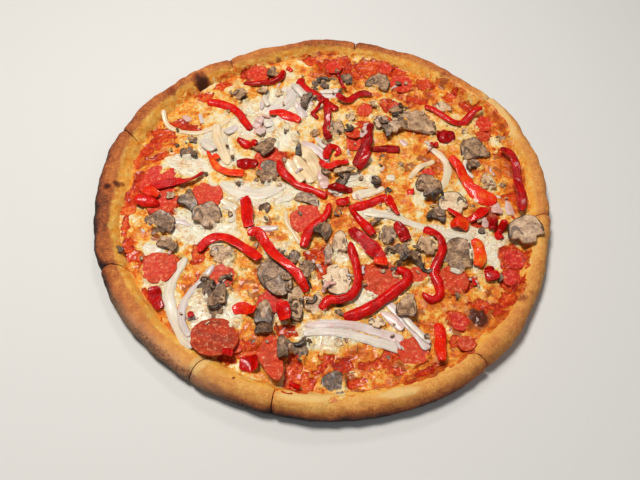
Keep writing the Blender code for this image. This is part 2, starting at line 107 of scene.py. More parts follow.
# Patches on the cheese: middle, half width and half length in mm, turn in degrees.
saucePatches = [
    (-165, 62, 5, 9, 10), (-175, 47, 4, 9, -20), (-181, 33, 4, 7, 10), (-160, 42, 9, 3, 20),
    (-174, 0, 6, 16, -8), (-178, -21, 6, 9, 5), (-177, -42, 3, 9, 5), (-170, -60, 4, 7, 20),
    (-164, -71, 8, 5, 0), (-140, -72, 15, 4, 5), (-150, 84, 9, 5, 15), (-133, 80, 8, 4, 0),
    (-155, 68, 6, 6, 0), (-126, 122, 7, 5, 40), (-110, 140, 8, 4, 30), (-18, 182, 8, 4, 0),
    (9, 174, 15, 12, 0), (50, 174, 20, 9, -8), (72, 168, 10, 7, -20), (28, 160, 9, 5, 0),
    (100, 150, 8, 6, -30), (127, 134, 6, 5, -40), (146, 120, 6, 5, 0), (-74, 158, 14, 10, 0),
    (171, 62, 5, 4, 0), (176, 8, 6, 5, 0), (180, -19, 6, 3, 0), (160, 85, 5, 6, 0),
    (135, -106, 9, 3, -20), (147, -112, 6, 3, -30), (154, -101, 8, 5, 30), (112, -120, 6, 9, 20),
    (118, -142, 11, 5, -10), (6, -157, 6, 4, 0), (20, -163, 7, 4, 0), (30, -177, 6, 4, 5),
    (36, -162, 4, 3, 0), (51, -157, 10, 4, 10), (60, -166, 6, 3, 0), (-8, -175, 5, 5, 0),
    (2, -166, 4, 3, 0), (-20, -171, 6, 11, -10), (74, -181, 8, 3, 5), (84, -166, 8, 4, 20),
    (-148, -106, 5, 4, -30), (-139, -112, 5, 8, 25), (-104, -92, 3, 6, -20), (-107, -64, 4, 8, 0),
    (48, -78, 15, 8, 0), (2, -72, 5, 14, 0), (-8, -62, 7, 4, 0), (-48, 44, 12, 8, 0),
    (112, -84, 14, 8, 0), (150, -14, 8, 7, 0), (142, -24, 6, 6, 0), (-146, -14, 12, 12, 0),
    (-57, -152, 9, 5, 0), (-72, -160, 6, 4, 0), (-28, -136, 7, 5, 0), (8, 8, 7, 5, 0),
    (66, 118, 9, 7, 0), (92, 128, 8, 4, 0), (60, 100, 7, 5, 0), (36, 92, 7, 6, 0),
    (166, -62, 10, 14, 10), (160, -81, 8, 8, 0), (-20, -190, 5, 3, 0), (-12, -185, 4, 7, 10),
    (7, 182, 4, 3, 0), (20, 171, 4, 3, 0), (34, 175, 4, 3, 0), (50, 178, 4, 3, 0), (66, 173, 5, 3, 0),
    (82, 165, 4, 3, 0),
]
greasePatches = [
    (98, 55, 16, 9, 0), (80, 20, 10, 12, 0), (85, -5, 12, 7, 0), (112, 38, 8, 10, 0),
    (62, 12, 8, 18, 0), (150, 46, 18, 12, 0), (160, 60, 8, 8, 0), (-50, -28, 5, 5, 0),
    (20, -22, 9, 9, 0), (-2, -60, 9, 7, 0), (-60, -98, 10, 12, 0), (-55, -145, 14, 10, 0),
    (30, -160, 40, 14, 0), (60, -174, 25, 9, 0), (105, -152, 18, 12, 0), (130, -117, 16, 16, 0),
    (90, -112, 14, 12, 0), (-113, -98, 5, 8, 0), (-107, -80, 6, 6, 0), (-160, -58, 10, 12, 0),
    (-150, -45, 10, 5, 0), (-166, 78, 9, 7, 0), (-166, 38, 9, 9, 0), (-172, 20, 6, 10, 0),
    (-150, 50, 9, 6, 0), (60, 150, 30, 14, 0), (110, 130, 22, 14, 0), (0, 165, 18, 10, 0),
    (90, 90, 20, 8, 0), (60, 60, 10, 12, 0), (130, -140, 12, 16, -30), (4, -2, 5, 9, 0),
    (-92, 4, 4, 10, 20), (-86, -24, 7, 7, 0), (118, -98, 14, 7, 0), (150, -96, 14, 8, 0),
    (-20, 45, 16, 12, -30), (-45, -50, 8, 16, 0), (168, 98, 6, 14, 15), (172, 30, 8, 28, 0),
]
toastSpots = [
    (130, -117, 10, 10, 0), (95, 49, 5, 3, 0), (83, 42, 4, 3, 0), (77, 37, 3, 3, 0),
    (93, 52, 4, 3, 0), (88, 128, 4, 3, 0), (-51, -28, 4, 4, 0), (110, -130, 5, 7, 0),
    (121, -144, 7, 4, 0), (141, -94, 3, 3, 0), (108, -144, 4, 3, 0), (24, -172, 6, 4, 0),
    (62, -166, 4, 6, 0), (34, -184, 9, 2, 5), (66, -183, 12, 2, 5), (90, -168, 5, 2, 30),
    (-113, -98, 2.5, 4, 0), (-60, -92, 3, 3, 0), (-66, -96, 3, 2, 0), (-55, -104, 4, 3, 0),
    (80, -124, 3, 3, 0), (84, -114, 2.5, 3, 0), (-160, 40, 4, 2, 0), (-176, 28, 3, 4, 0),
    (165, 40, 3, 3, 0), (168, 55, 3, 3, 0), (72, 182, 12, 3, -8), (40, 184, 10, 2.5, 0),
    (120, 150, 6, 3, -30), (150, 118, 5, 3, -50), (-45, -42, 3, 2, 0), (-147, -50, 3, 4, 0),
    (14, -12, 3, 3, 0), (50, -32, 3, 3, 0), (152, -100, 5, 3, 0), (140, -110, 5, 2, -30),
]
paleAreas = [
    (-65, 2, 34, 11, 0), (-130, 33, 18, 9, -10), (-125, -35, 12, 12, 0), (-110, -50, 14, 6, 0),
    (-95, -30, 14, 14, 0), (140, -48, 24, 14, -20), (-148, -62, 9, 10, 0), (8, -138, 22, 10, 0),
    (30, 20, 14, 6, 0), (-45, 65, 18, 12, 0), (-100, 48, 12, 10, 0), (40, -100, 22, 6, 0),
    (-88, -120, 18, 16, 0), (45, -18, 22, 4, -5), (14, -62, 6, 5, 0), (90, 8, 6, 10, 0),
    (-108, 60, 12, 16, 0), (-42, 112, 24, 18, 0), (-72, 88, 18, 18, 0), (110, -36, 20, 5, -10),
    (-40, -58, 8, 8, 0), (-138, -90, 10, 10, 0),
]

# Peppers: widths at the start and end in mm, colour from dark red to orange,
# lean in degrees, then the middle line. The first ones carry a CAD node each.
pepperNodes = [
    (10, 7, 0.55, 6, [(-122, 114), (-112, 113), (-98, 108), (-88, 100), (-82, 90), (-75, 78)]),
    (9, 8, 0.35, -8, [(-27, 153), (-29, 145), (-22, 136), (-12, 130), (-2, 122), (5, 114), (10, 109)]),
    (7, 6, 0.30, 8, [(-2, 119), (0, 108), (1, 95), (0, 82), (1, 70)]),
    (7, 6, 0.30, 10, [(9, 126), (20, 122), (30, 130), (38, 134), (46, 132)]),
    (11, 10, 0.62, 0, [(-58, 102), (-48, 103), (-38, 98), (-26, 92)]),
    (7, 8, 0.45, -10, [(100, 118), (108, 115), (118, 106), (127, 99), (137, 98), (146, 107), (156, 112)]),
    (9, 8, 0.18, 0, [(72, 60), (56, 60), (45, 58)]),
    (7, 12, 0.22, 8, [(44, 92), (42, 80), (40, 68), (38, 56), (33, 46), (28, 38)]),
    (4, 10, 0.42, 4, [(-114, 21), (-122, 14), (-131, 10), (-141, 8), (-151, 5), (-160, 1)]),
    (4, 9, 0.80, 0, [(-114, 50), (-109, 40), (-103, 31), (-96, 26), (-87, 24), (-76, 24)]),
    (15, 9, 0.50, 5, [(-73, -4), (-70, -15), (-68, -26), (-66, -37)]),
    (8, 9, 0.52, -8, [(-107, -64), (-103, -55), (-95, -49), (-85, -49), (-75, -54), (-65, -61), (-53, -72)]),
    (7, 8, 0.50, 8, [(-44, 37), (-42, 28), (-35, 20), (-25, 13), (-14, 7), (2, -1)]),
    (8, 9, 0.52, 0, [(23, -13), (35, -9), (47, -3), (58, 2)]),
    (6, 9, 0.50, 8, [(5, -10), (3, -20), (-2, -28), (-9, -35), (-14, -44), (-17, -56)]),
    (11, 13, 0.34, 0, [(24, -35), (34, -45), (43, -55), (52, -67)]),
    (6, 9, 0.28, 6, [(170, 63), (177, 55), (180, 44), (180, 30), (180, 16), (181, 4), (178, -13)]),
    (7, 15, 0.72, 4, [(120, 50), (126, 40), (132, 27), (138, 14), (147, 5), (159, 0)]),
    (8, 7, 0.42, -8, [(90, -32), (100, -38), (105, -47), (104, -57), (99, -68), (96, -78),
                      (99, -88), (99, -99), (92, -103), (85, -97)]),
    (9, 9, 0.66, 0, [(96, -124), (97, -135), (95, -147), (95, -160)]),
    (10, 8, 0.46, 6, [(19, -122), (31, -118), (42, -112), (53, -104), (64, -95), (72, -88),
                      (73, -79), (64, -76)]),
    (7, 8, 0.46, -6, [(24, -52), (27, -64), (30, -76), (31, -90), (26, -102), (16, -107),
                      (6, -108), (1, -117)]),
    (9, 7, 0.56, 8, [(-66, -47), (-58, -44), (-51, -52), (-44, -63), (-36, -72), (-27, -80),
                     (-19, -89), (-12, -101)]),
]
pepperExtras = [
    (5, 7, 0.35, 0, [(-88, 143), (-75, 143), (-60, 146), (-50, 151), (-47, 162)]),
    (4, 5, 0.35, 0, [(-4, 117), (-14, 104), (-9, 97)]),
    (3, 4, 0.30, 0, [(10, 160), (14, 148), (19, 137)]),
    (9, 8, 0.75, 0, [(-166, -1), (-158, -4), (-150, -8)]),
    (12, 9, 0.52, 0, [(-170, -11), (-160, -15), (-149, -17)]),
    (6, 12, 0.46, 0, [(-86, 66), (-77, 60), (-66, 57)]),
    (9, 11, 0.25, 0, [(-84, 34), (-74, 36), (-64, 33)]),
    (6, 6, 0.45, 12, [(1, 43), (1, 50), (4, 57), (10, 59), (13, 54), (9, 50)]),
    (6, 8, 0.55, 0, [(-5, 40), (3, 34), (12, 38), (22, 43)]),
    (9, 6, 0.28, 0, [(41, 50), (35, 38), (29, 29)]),
    (11, 4, 0.55, 0, [(58, 1), (62, -8), (68, -19)]),
    (11, 10, 0.45, 0, [(11, -6), (17, -5), (23, -4)]),
    (6, 8, 0.45, 0, [(24, -14), (31, -22), (38, -31), (45, -42)]),
    (12, 9, 0.30, 0, [(65, -28), (70, -38), (74, -46)]),
    (10, 9, 0.70, 0, [(44, -69), (50, -70), (56, -70)]),
    (5, 8, 0.50, 0, [(112, -12), (121, -18), (130, -21), (139, -17), (147, -8)]),
    (12, 12, 0.76, 0, [(114, -27), (122, -27), (130, -28)]),
    (8, 6, 0.42, 10, [(165, -19), (160, -27), (156, -35), (158, -41)]),
    (9, 11, 0.86, 0, [(134, -42), (138, -55), (134, -71)]),
    (11, 9, 0.30, 0, [(-140, -99), (-137, -109), (-131, -120)]),
    (12, 12, 0.52, 0, [(-32, -113), (-30, -121), (-28, -130)]),
    (9, 10, 0.62, 0, [(-72, -119), (-63, -116), (-53, -121)]),
    (13, 12, 0.40, 0, [(-62, -165), (-47, -164)]),
    (13, 11, 0.40, 0, [(143, -71), (145, -84)]),
    (6, 7, 0.24, 0, [(3, 10), (14, 8), (26, 8)]),
    (15, 12, 0.24, 0, [(109, 80), (118, 79), (127, 81)]),
    (8, 6, 0.24, 0, [(-2, 77), (4, 68)]),
    (8, 8, 0.66, 0, [(77, 9), (83, 9)]),
    (8, 7, 0.40, 0, [(-75, -158), (-67, -158)]),
    (4, 4, 0.55, 0, [(128, -83), (130, -89)]),
    (7, 6, 0.40, 0, [(-106, -122), (-104, -128)]),
    (5, 5, 0.40, 0, [(-22, -178), (-14, -183)]),
    (9, 9, 0.22, 0, [(152, -20), (151, -32)]),
    (8, 7, 0.74, 0, [(-44, 168), (-38, 164)]),
    (8, 7, 0.80, 0, [(-106, 44), (-102, 38)]),
    (6, 5, 0.40, 0, [(102, 66), (110, 68)]),
]
pepperCut = {"thick": 2.4 * mm, "wall": 1.5 * mm, "node": 3.8 * mm, "blunt": 0.2, "twist": 42.0,
             "curl": 1.5 * mm, "taper": 0.5, "wider": 1.08, "grain": 1.0}

onionNodes = [
    (5.2, 6.6, 0.45, 0, [(-14, -137), (2, -135), (20, -136), (36, -140), (52, -144), (67, -148)]),
]
onionExtras = [
    (5.2, 6.2, 0.65, 0, [(-12, -130), (9, -128), (30, -129), (50, -134), (67, -140)]),
    (4.4, 5.6, 0.60, 0, [(50, -102), (60, -112), (69, -123), (77, -134), (86, -148)]),
    (5.5, 5.5, 0.75, 0, [(50, -115), (58, -122), (67, -131)]),
    (6, 8, 0.35, 0, [(-117, -70), (-122, -80), (-126, -95), (-126, -110), (-120, -125), (-110, -141),
                     (-98, -155)]),
    (4, 5, 0.55, 0, [(-92, -78), (-100, -90), (-107, -100), (-113, -115), (-112, -130), (-103, -146)]),
    (3.4, 4.2, 0.45, 0, [(66, -116), (76, -130), (88, -143)]),
    (11.4, 12.1, 0.35, 0, [(-41, 141), (-42, 125), (-55, 109)]),
    (6, 8, 0.50, 10, [(-67, 116), (-57, 107), (-44, 111), (-37, 122), (-37, 136)]),
    (5, 6, 0.35, 0, [(-119, 80), (-114, 63), (-109, 49), (-103, 38)]),
    (5, 5, 0.20, 0, [(-102, 81), (-99, 64), (-95, 50), (-95, 37)]),
    (5, 6, 0.55, 10, [(-22, 63), (-11, 59), (-2, 50), (2, 39)]),
    (4, 5, 0.60, 0, [(-62, 134), (-65, 119), (-66, 106)]),
    (6, 6, 0.65, 0, [(-33, 138), (-25, 127), (-14, 117)]),
    (6, 6, 0.50, 0, [(-6, 131), (3, 130), (11, 132)]),
    (5, 5, 0.85, 0, [(-70, 74), (-65, 86), (-62, 92)]),
    (5, 6, 0.45, 0, [(-57, 95), (-58, 86), (-54, 77)]),
    (4.1, 4.1, 0.30, 0, [(-61, 134), (-64, 121), (-59, 110)]),
    (6.3, 6.2, 0.40, 0, [(-37, 144), (-26, 130), (-15, 123)]),
    (8.2, 7.0, 0.65, 0, [(-31, 117), (-22, 99)]),
    (6.0, 6.9, 0.45, 0, [(-62, 100), (-56, 82)]),
    (7.0, 6.9, 0.75, 0, [(-64, 93), (-71, 81)]),
    (7.9, 7.9, 0.70, 0, [(-69, 76), (-60, 75)]),
    (3.4, 4.2, 0.12, 0, [(-164, 97), (-157, 81), (-142, 74), (-124, 73), (-110, 82), (-96, 93)]),
    (5.9, 7.6, 0.08, 0, [(-109, 85), (-106, 68), (-99, 51), (-92, 34)]),
    (7.8, 8.6, 0.40, 0, [(-120, 64), (-107, 50)]),
    (7.8, 7.9, 0.55, 0, [(-99, 73), (-89, 84)]),
    (3.5, 3.5, 0.55, 0, [(-128, 99), (-123, 86)]),
    (5, 5, 0.85, 0, [(-144, 95), (-136, 89)]),
    (4.9, 5.7, 0.70, 0, [(-23, 64), (-9, 54), (3, 42)]),
    (4.9, 5.8, 0.40, 0, [(-11, 74), (0, 58)]),
    (7.8, 9.4, 0.02, 0, [(-27, 58), (-13, 43), (-4, 24)]),
    (8.6, 9.3, 0.00, 0, [(-29, 44), (-20, 30), (-10, 16)]),
    (8.6, 7.5, 0.05, 0, [(-36, 38), (-29, 26), (-20, 15)]),
    (7.6, 8.4, 0.80, 0, [(-5, 28), (2, 10)]),
    (4.7, 5.7, 0.30, 0, [(13, 21), (22, 21), (32, 26)]),
    (6.5, 6.5, 0.20, 0, [(26, 1), (41, 7), (56, 12)]),
    (4.6, 4.5, 0.30, 0, [(41, -13), (54, -17), (67, -23)]),
    (4.6, 4.6, 0.35, 0, [(4, 7), (17, 3)]),
    (5.9, 5.9, 0.80, 0, [(73, 73), (80, 67)]),
    (5.0, 5.9, 0.75, 0, [(40, 91), (35, 69)]),
    (7.6, 7.6, 0.25, 0, [(58, 25), (66, 25)]),
    (9.3, 8.4, 0.35, 0, [(-96, 12), (-83, 5), (-62, 2), (-48, 6), (-38, 15)]),
    (5.5, 5.5, 0.35, 0, [(-45, -8), (-29, 0)]),
    (4.6, 5.4, 0.25, 0, [(-96, -6), (-79, -17)]),
    (4.4, 4.4, 0.60, 0, [(-67, -37), (-53, -37), (-40, -36)]),
    (2.7, 3.1, 0.12, 0, [(-34, -16), (-33, -29), (-26, -41), (-19, -52)]),
    (7.5, 7.5, 0.00, 0, [(-56, -28), (-49, -27)]),
    (4.9, 5.6, 0.15, 0, [(100, 68), (112, 54), (117, 42), (115, 26), (108, 12)]),
    (3.9, 4.7, 0.08, 0, [(105, 48), (90, 38), (80, 25)]),
    (3.4, 3.8, 0.35, 0, [(135, 50), (135, 39), (141, 29)]),
    (4, 6, 0.30, 0, [(35, -17), (48, -19), (62, -20), (76, -25), (95, -32), (115, -38), (134, -40)]),
    (7, 9, 0.80, 0, [(159, 0), (158, -13)]),
    (7, 6, 0.15, 0, [(138, 3), (147, 1)]),
    (5, 7, 0.75, 0, [(169, 3), (171, -13)]),
    (5, 5, 0.80, 0, [(144, -17), (147, -28)]),
    (2.5, 2.5, 0.35, 0, [(149, 14), (156, 9), (164, 7)]),
    (5, 5, 0.40, 0, [(-8, 134), (3, 135), (12, 137)]),
    (4, 4, 0.30, 0, [(-92, -16), (-84, -18), (-81, -26), (-85, -31)]),
    (4, 4, 0.45, 0, [(62, 96), (66, 88)]),
    (5, 6, 0.55, 0, [(-18, -72), (-13, -80)]),
    (5, 5, 0.35, 0, [(110, -74), (118, -76)]),
    (7, 8, 0.30, 0, [(-156, -60), (-146, -63), (-140, -60)]),
    (4, 4, 0.60, 0, [(-140, -36), (-128, -33), (-118, -37)]),
]
onionCut = {"thick": 1.9 * mm, "wall": 1.2 * mm, "node": 1.9 * mm, "blunt": 0.45, "twist": 16.0,
            "curl": 0.6 * mm, "taper": 0.5, "wider": 1.4, "grain": 10.0}

# Mushrooms: middle, cap width and length in mm, direction from stalk to cap in
# degrees, kind and darkness.
mushroomNodes = [
    (88, 97, 44, 27, 80, "cap", 0.45), (144, 64, 28, 25, 100, "cap", 0.55),
    (178, -36, 31, 28, 95, "half", 0.45), (118, -60, 27, 36, 80, "half", 0.55),
    (118, -3, 28, 25, 100, "half", 0.15), (97, 17, 24, 24, 95, "half", 0.55),
    (-143, -33, 29, 17, 65, "cap", 0.60), (-53, 26, 22, 26, 75, "half", 0.60),
    (-43, -82, 27, 24, 130, "cap", 0.60), (-34, -97, 23, 19, -60, "cap", 0.60),
    (13, -88, 25, 30, -70, "half", 0.15),
]
mushroomExtras = [
    (-58, 160, 13, 13, 90, "cap", 0.60), (-90, 125, 14, 14, 40, "half", 0.50),
    (-8, 146, 18, 16, 90, "gill", 0.80), (6, 153, 9, 8, 60, "gill", 0.85),
    (20, 155, 17, 15, 80, "gill", 0.80), (54, 152, 25, 22, 70, "cap", 0.55),
    (-22, 119, 20, 9, 160, "gill", 0.85), (-66, 133, 12, 9, 60, "cap", 0.30),
    (-50, 131, 9, 9, 120, "cap", 0.30), (24, 102, 10, 12, 90, "half", 0.40),
    (10, 84, 17, 20, 80, "half", 0.45), (-40, 82, 15, 5, 10, "gill", 0.80),
    (48, 118, 10, 8, 45, "half", 0.45), (-11, 77, 9, 10, 90, "half", 0.50),
    (54, 92, 14, 13, 60, "half", 0.50), (67, 86, 15, 14, 100, "half", 0.45),
    (60, 80, 16, 8, 20, "gill", 0.80), (70, 110, 14, 12, 60, "half", 0.50),
    (118, 118, 20, 12, 70, "half", 0.25), (140, 88, 10, 8, 90, "cap", 0.40),
    (172, 78, 9, 8, 100, "half", 0.50), (-131, 63, 13, 9, 90, "gill", 0.80),
    (-131, 46, 17, 12, 90, "gill", 0.75), (-140, -6, 8, 8, 0, "cap", 0.45),
    (-122, -14, 20, 13, 60, "gill", 0.65), (-104, -27, 27, 24, 95, "half", 0.50),
    (-145, -45, 13, 6, 100, "cap", 0.60), (-134, -57, 19, 13, 70, "cap", 0.50),
    (-173, -67, 7, 6, 20, "gill", 0.90), (-80, 15, 15, 6, 170, "gill", 0.60),
    (-86, -66, 23, 17, 70, "half", 0.40), (-57, 57, 20, 23, 45, "cap", 0.60),
    (-26, 52, 6, 14, 90, "cap", 0.80), (17, 18, 8, 26, 62, "gill", 0.95),
    (18, 30, 20, 8, 95, "cap", 0.30), (54, 45, 15, 5, 165, "gill", 0.80),
    (48, 17, 9, 7, 30, "gill", 0.90), (59, 8, 8, 6, 150, "gill", 0.95),
    (-53, -14, 9, 11, 60, "gill", 0.80), (-15, -4, 24, 10, 70, "cap", 0.50),
    (57, -41, 15, 20, 80, "half", 0.55), (68, -57, 17, 15, 50, "gill", 0.80),
    (46, -27, 11, 6, 120, "gill", 0.85), (15, -48, 13, 22, 90, "cap", 0.30),
    (5, -62, 9, 19, 90, "cap", 0.50), (1, -39, 15, 16, 60, "gill", 0.75),
    (-38, -62, 8, 10, 50, "gill", 0.70), (-24, -66, 11, 13, 90, "half", 0.70),
    (-12, -78, 15, 17, 80, "half", 0.60), (-60, -58, 5, 14, 60, "cap", 0.50),
    (142, 43, 15, 12, 90, "gill", 0.80), (153, 24, 13, 17, 95, "cap", 0.35),
    (168, 22, 5, 8, 60, "cap", 0.50), (98, 4, 15, 9, 90, "gill", 0.80),
    (103, -17, 17, 15, 70, "gill", 0.85), (92, -50, 20, 20, 100, "half", 0.40),
    (80, -64, 17, 12, 60, "gill", 0.80), (-94, -100, 15, 14, 40, "gill", 0.90),
    (-85, -113, 13, 32, 80, "half", 0.60), (-21, -111, 15, 32, 85, "cap", 0.30),
    (-4, -112, 17, 19, 90, "half", 0.35), (-46, -122, 15, 22, 90, "gill", 0.70),
    (-45, -135, 15, 8, 90, "cap", 0.75), (-29, -152, 9, 23, 100, "gill", 0.80),
    (-16, -151, 17, 13, 40, "gill", 0.85), (12, -178, 21, 19, 130, "half", 0.76),
    (46, -125, 14, 10, 80, "half", 0.20), (15, -118, 9, 6, 90, "gill", 0.85),
    (71, -109, 17, 23, 80, "cap", 0.45), (28, -147, 5, 7, 90, "gill", 1.0),
    (15, -144, 7, 7, 90, "half", 0.25), (151, -80, 8, 7, 40, "gill", 0.80),
    (114, -99, 6, 4, 0, "cap", 0.60), (-144, 56, 4, 4, 30, "gill", 0.90),
    (-112, 22, 6, 4, 40, "gill", 0.95), (-95, 55, 3, 3, 0, "gill", 0.90),
]
mushroomCut = {"thick": 3.0 * mm, "curl": 2.6, "bend": 1.1, "dish": 0.0, "fullSize": 500.0}

# Where gills show under a cap, as shares of its width and height.
gills = {"from": 0.24, "over": 0.62, "low": 0.08, "arc": 0.42, "thin": {"half": 0.12, "cap": 0.09},
         "faint": 0.42, "wideLow": 0.06, "wideArc": 0.40, "wide": 0.26}
crumbs = {"count": 150, "reach": 172.0, "turn": 2.39996}

# Thin slices that curled up small, and pale pink slivers of onion. Each arc has a radius
# in mm and a turn, with how much more either may have.
curlForm = {"radius": (3.0, 2.4), "arc": (2.4, 1.4), "flat": 0.8, "step": 2.1}
mushroomCurls = [
    (59, -58), (65, -49), (67, -64), (76, -68), (86, -63), (71, -75), (79, -79), (91, -72), (61, -71),
    (80, -57), (64, -80), (54, -47), (-21, -111), (-16, -117), (-10, -106), (-24, -122), (-32, -132),
    (-12, -97), (-21, -76), (-30, -64), (-18, -143), (-10, -148), (-20, -152), (-102, -109), (-98, -92),
    (-86, -99), (-89, -115), (-80, -93), (-94, -105), (-82, -112), (-77, -101), (-24, -99), (-15, -94),
    (-19, -114), (-29, -89), (-40, -58), (49, 101), (58, 92), (67, 105), (79, 113), (83, 91), (95, 107),
    (105, 81), (111, 92), (20, 84), (9, 76), (1, 65), (25, 99), (99, -10), (106, -16), (93, -17),
    (104, -1), (141, 37), (148, 24), (155, 17), (134, 47), (46, 19), (12, 18), (2, 27), (-91, 118),
    (-84, 122), (-96, 127), (-14, 140), (-4, 149), (24, 150),
]
onionSlivers = [
    (-4, -81), (10, -73), (5, -87), (19, -88), (15, -77), (22, -82), (-1, -95), (10, -97), (23, -99),
    (-11, -74), (-8, -109), (-2, -99), (98, 66), (106, 60), (-62, 98), (-49, 91),
]

# Salami: middle, radius in mm, colour from pink to brown orange.
salamiNodes = [(-153, 10, 19, 0.25), (-108, -4, 15, 0.45), (-139, -81, 15, 0.50),
               (-14, -26, 16, 0.40), (-83, -145, 18, 0.85), (52, -86, 17, 0.60)]
salamiExtras = [
    (-147, -14, 14, 0.45), (-54, 40, 14, 0.40), (27, 65, 9, 0.45), (112, -84, 13, 0.60),
    (-84, -88, 11, 0.60), (74, -150, 12, 0.55), (167, -61, 10, 0.10), (161, -79, 8, 0.05),
    (78, 150, 13, 0.35), (102, 149, 8, 0.62), (158, 97, 10, 0.35), (155, 80, 7, 0.70),
    (38, 112, 9, 0.45), (27, 77, 8, 0.50), (-42, -110, 11, 0.25), (-74, 157, 12, 0.40),
    (98, 30, 7, 0.20), (151, -14, 6, 0.95), (114, -122, 8, 0.10), (117, -142, 7, 0.65),
    (82, -80, 8, 0.55), (5, 172, 10, 0.30), (60, 172, 8, 0.30), (-66, -150, 6, 0.5),
]
salamiCut = {"thick": 2.0 * mm, "curl": 1.2, "bend": 0.6, "dish": 0.03, "sides": 40}
halfSalami = [(-38, -138), (-45, -145), (-49, -153), (-46, -164), (-38, -175),
              (-30, -182), (-26, -174), (-28, -163), (-31, -152), (-34, -144)]

# Blanks that the toppings are shaped from: sides and steps, the finest first.
blanks = {"strips": [(24, 44), (10, 10), (8, 5)], "rounds": [(56, 20), (16, 8)]}
# The form that all strips share. Their noise changes this often by metre of length.
stripForm = {"steps": 48, "square": 0.48, "wobble": 0.22, "ragged": 0.16, "swell": 0.22,
             "sink": 0.5 * mm, "longEnough": 30.0 * mm, "firstTaper": 12.0 * mm, "lastTaper": 16.0 * mm,
             "often": {"wobble": 70.0, "ragged": 160.0, "twist": 40.0, "swell": 60.0}}
flatForm = {"face": 0.88, "bulge": 0.012, "blunt": 9, "wave": 0.10, "jag": 0.05, "bends": 70.0}

# How a slice comes to rest: slopes that are tried, how much of it has to lie clear, how far
# it sinks in and what a slope costs. The heap's grid has this many cells on each side.
rest = {"slope": 0.35, "tries": 9, "clear": 88, "sink": 0.4 * mm, "cost": 1.5 * mm}
heapForm = {"half": 230, "near": 1.6 * mm}


class Wire:  # a node's output that takes part in sums
    def __init__(self, recipe, socket):
        self.recipe = recipe
        self.socket = socket

    def __add__(self, other):
        return self.recipe.sum("ADD", self, other)

    def __sub__(self, other):
        return self.recipe.sum("SUBTRACT", self, other)

    def __rsub__(self, other):
        return self.recipe.sum("SUBTRACT", other, self)

    def __mul__(self, other):
        return self.recipe.sum("MULTIPLY", self, other)

    __radd__ = __add__
    __rmul__ = __mul__


class Recipe:  # one material and its nodes
    def __init__(self, name, **fixed):
        self.material = bpy.data.materials.new(name)
        self.material.use_nodes = True
        self.tree = self.material.node_tree
        self.shader = self.tree.nodes["Principled BSDF"]
        for socket, value in fixed.items():
            self.shader.inputs[socket.replace("_", " ")].default_value = value

    def node(self, kind, settings=None, output=0, **sockets):
        made = self.tree.nodes.new("ShaderNode" + kind)
        for key, value in (settings or {}).items():
            setattr(made, key, value)
        for key, value in sockets.items():
            self.feed(made.inputs[int(key[1:]) if key[1:].isdigit() else key], value)
        return Wire(self, made.outputs[output])

    def feed(self, socket, value):
        if isinstance(value, Wire):
            self.tree.links.new(value.socket, socket)
        else:
            socket.default_value = value

    def sum(self, operation, a, b=0.0):
        return self.node("Math", {"operation": operation}, _0=a, _1=b)

    def place(self):
        return self.node("TexCoord", output="Object")

    def grain(self, size, detail, **more):  # noise whose bumps are size mm wide
        return self.node("TexNoise", Vector=self.place(), Scale=1000.0 / size, Detail=detail, **more)

    def fade(self, value, low, high):  # 0 at low and 1 at high, smoothly
        settings = {"interpolation_type": "SMOOTHSTEP"}
        return self.node("MapRange", settings, Value=value, _1=low, _2=high)

    def painted(self, name):  # a value that was painted on the mesh
        return self.node("Attribute", {"attribute_name": name}, output="Fac")

    def blend(self, share, first, second):
        return self.node("Mix", {"data_type": "RGBA"}, output=2, _0=share, _6=first, _7=second)

    def ramp(self, value, *stops):
        made = self.tree.nodes.new("ShaderNodeValToRGB")
        while len(made.color_ramp.elements) < len(stops):
            made.color_ramp.elements.new(0.5)
        for element, (at, colour) in zip(made.color_ramp.elements, stops):
            element.position = at
            element.color = colour
        self.feed(made.inputs[0], value)
        return Wire(self, made.outputs[0])

    def surface(self, colour, roughness):
        self.feed(self.shader.inputs["Base Color"], colour)
        self.feed(self.shader.inputs["Roughness"], roughness)

    def relief(self, height, depth, strength):  # depth in mm
        bump = self.node("Bump", Height=height, Distance=depth * mm, Strength=strength)
        self.feed(self.shader.inputs["Normal"], bump)


def tone(red, green, blue):  # a colour as the eye names it, 0 to 255
    return tuple((v / 255.0 / 12.92) if v < 10.3 else ((v / 255.0 + 0.055) / 1.055) ** 2.4
                 for v in (red, green, blue)) + (1.0,)


def spot(point):  # a reading in mm to a place in metres
    x = eye["foot"][0] + (point[0] - eye["foot"][0]) * eye["pull"] + eye["shift"]
    y = eye["foot"][1] + (point[1] - eye["foot"][1]) * eye["pull"]
    return np.array([x * mm, y * mm])


def readRadius(readings, angle):  # radius in metres between readings all the way round
    listed = np.array(readings, float)
    turns = np.degrees(angle) * len(listed) / 360.0
    first = np.floor(turns).astype(int)
    share = turns - first
    ease = share * share * (3.0 - 2.0 * share)
    low = listed[first % len(listed)]
    return (low + (listed[(first + 1) % len(listed)] - low) * ease) * mm


def crestScale(angle):  # the crest is uneven along the rim, as in the CAD
    return 1.0 + 0.07 * np.sin(3.0 * angle + 0.6) + 0.04 * np.sin(7.0 * angle + 2.0)


def polar(x, y):
    return np.hypot(x - mm * eye["shift"], y), np.arctan2(y, x - mm * eye["shift"])


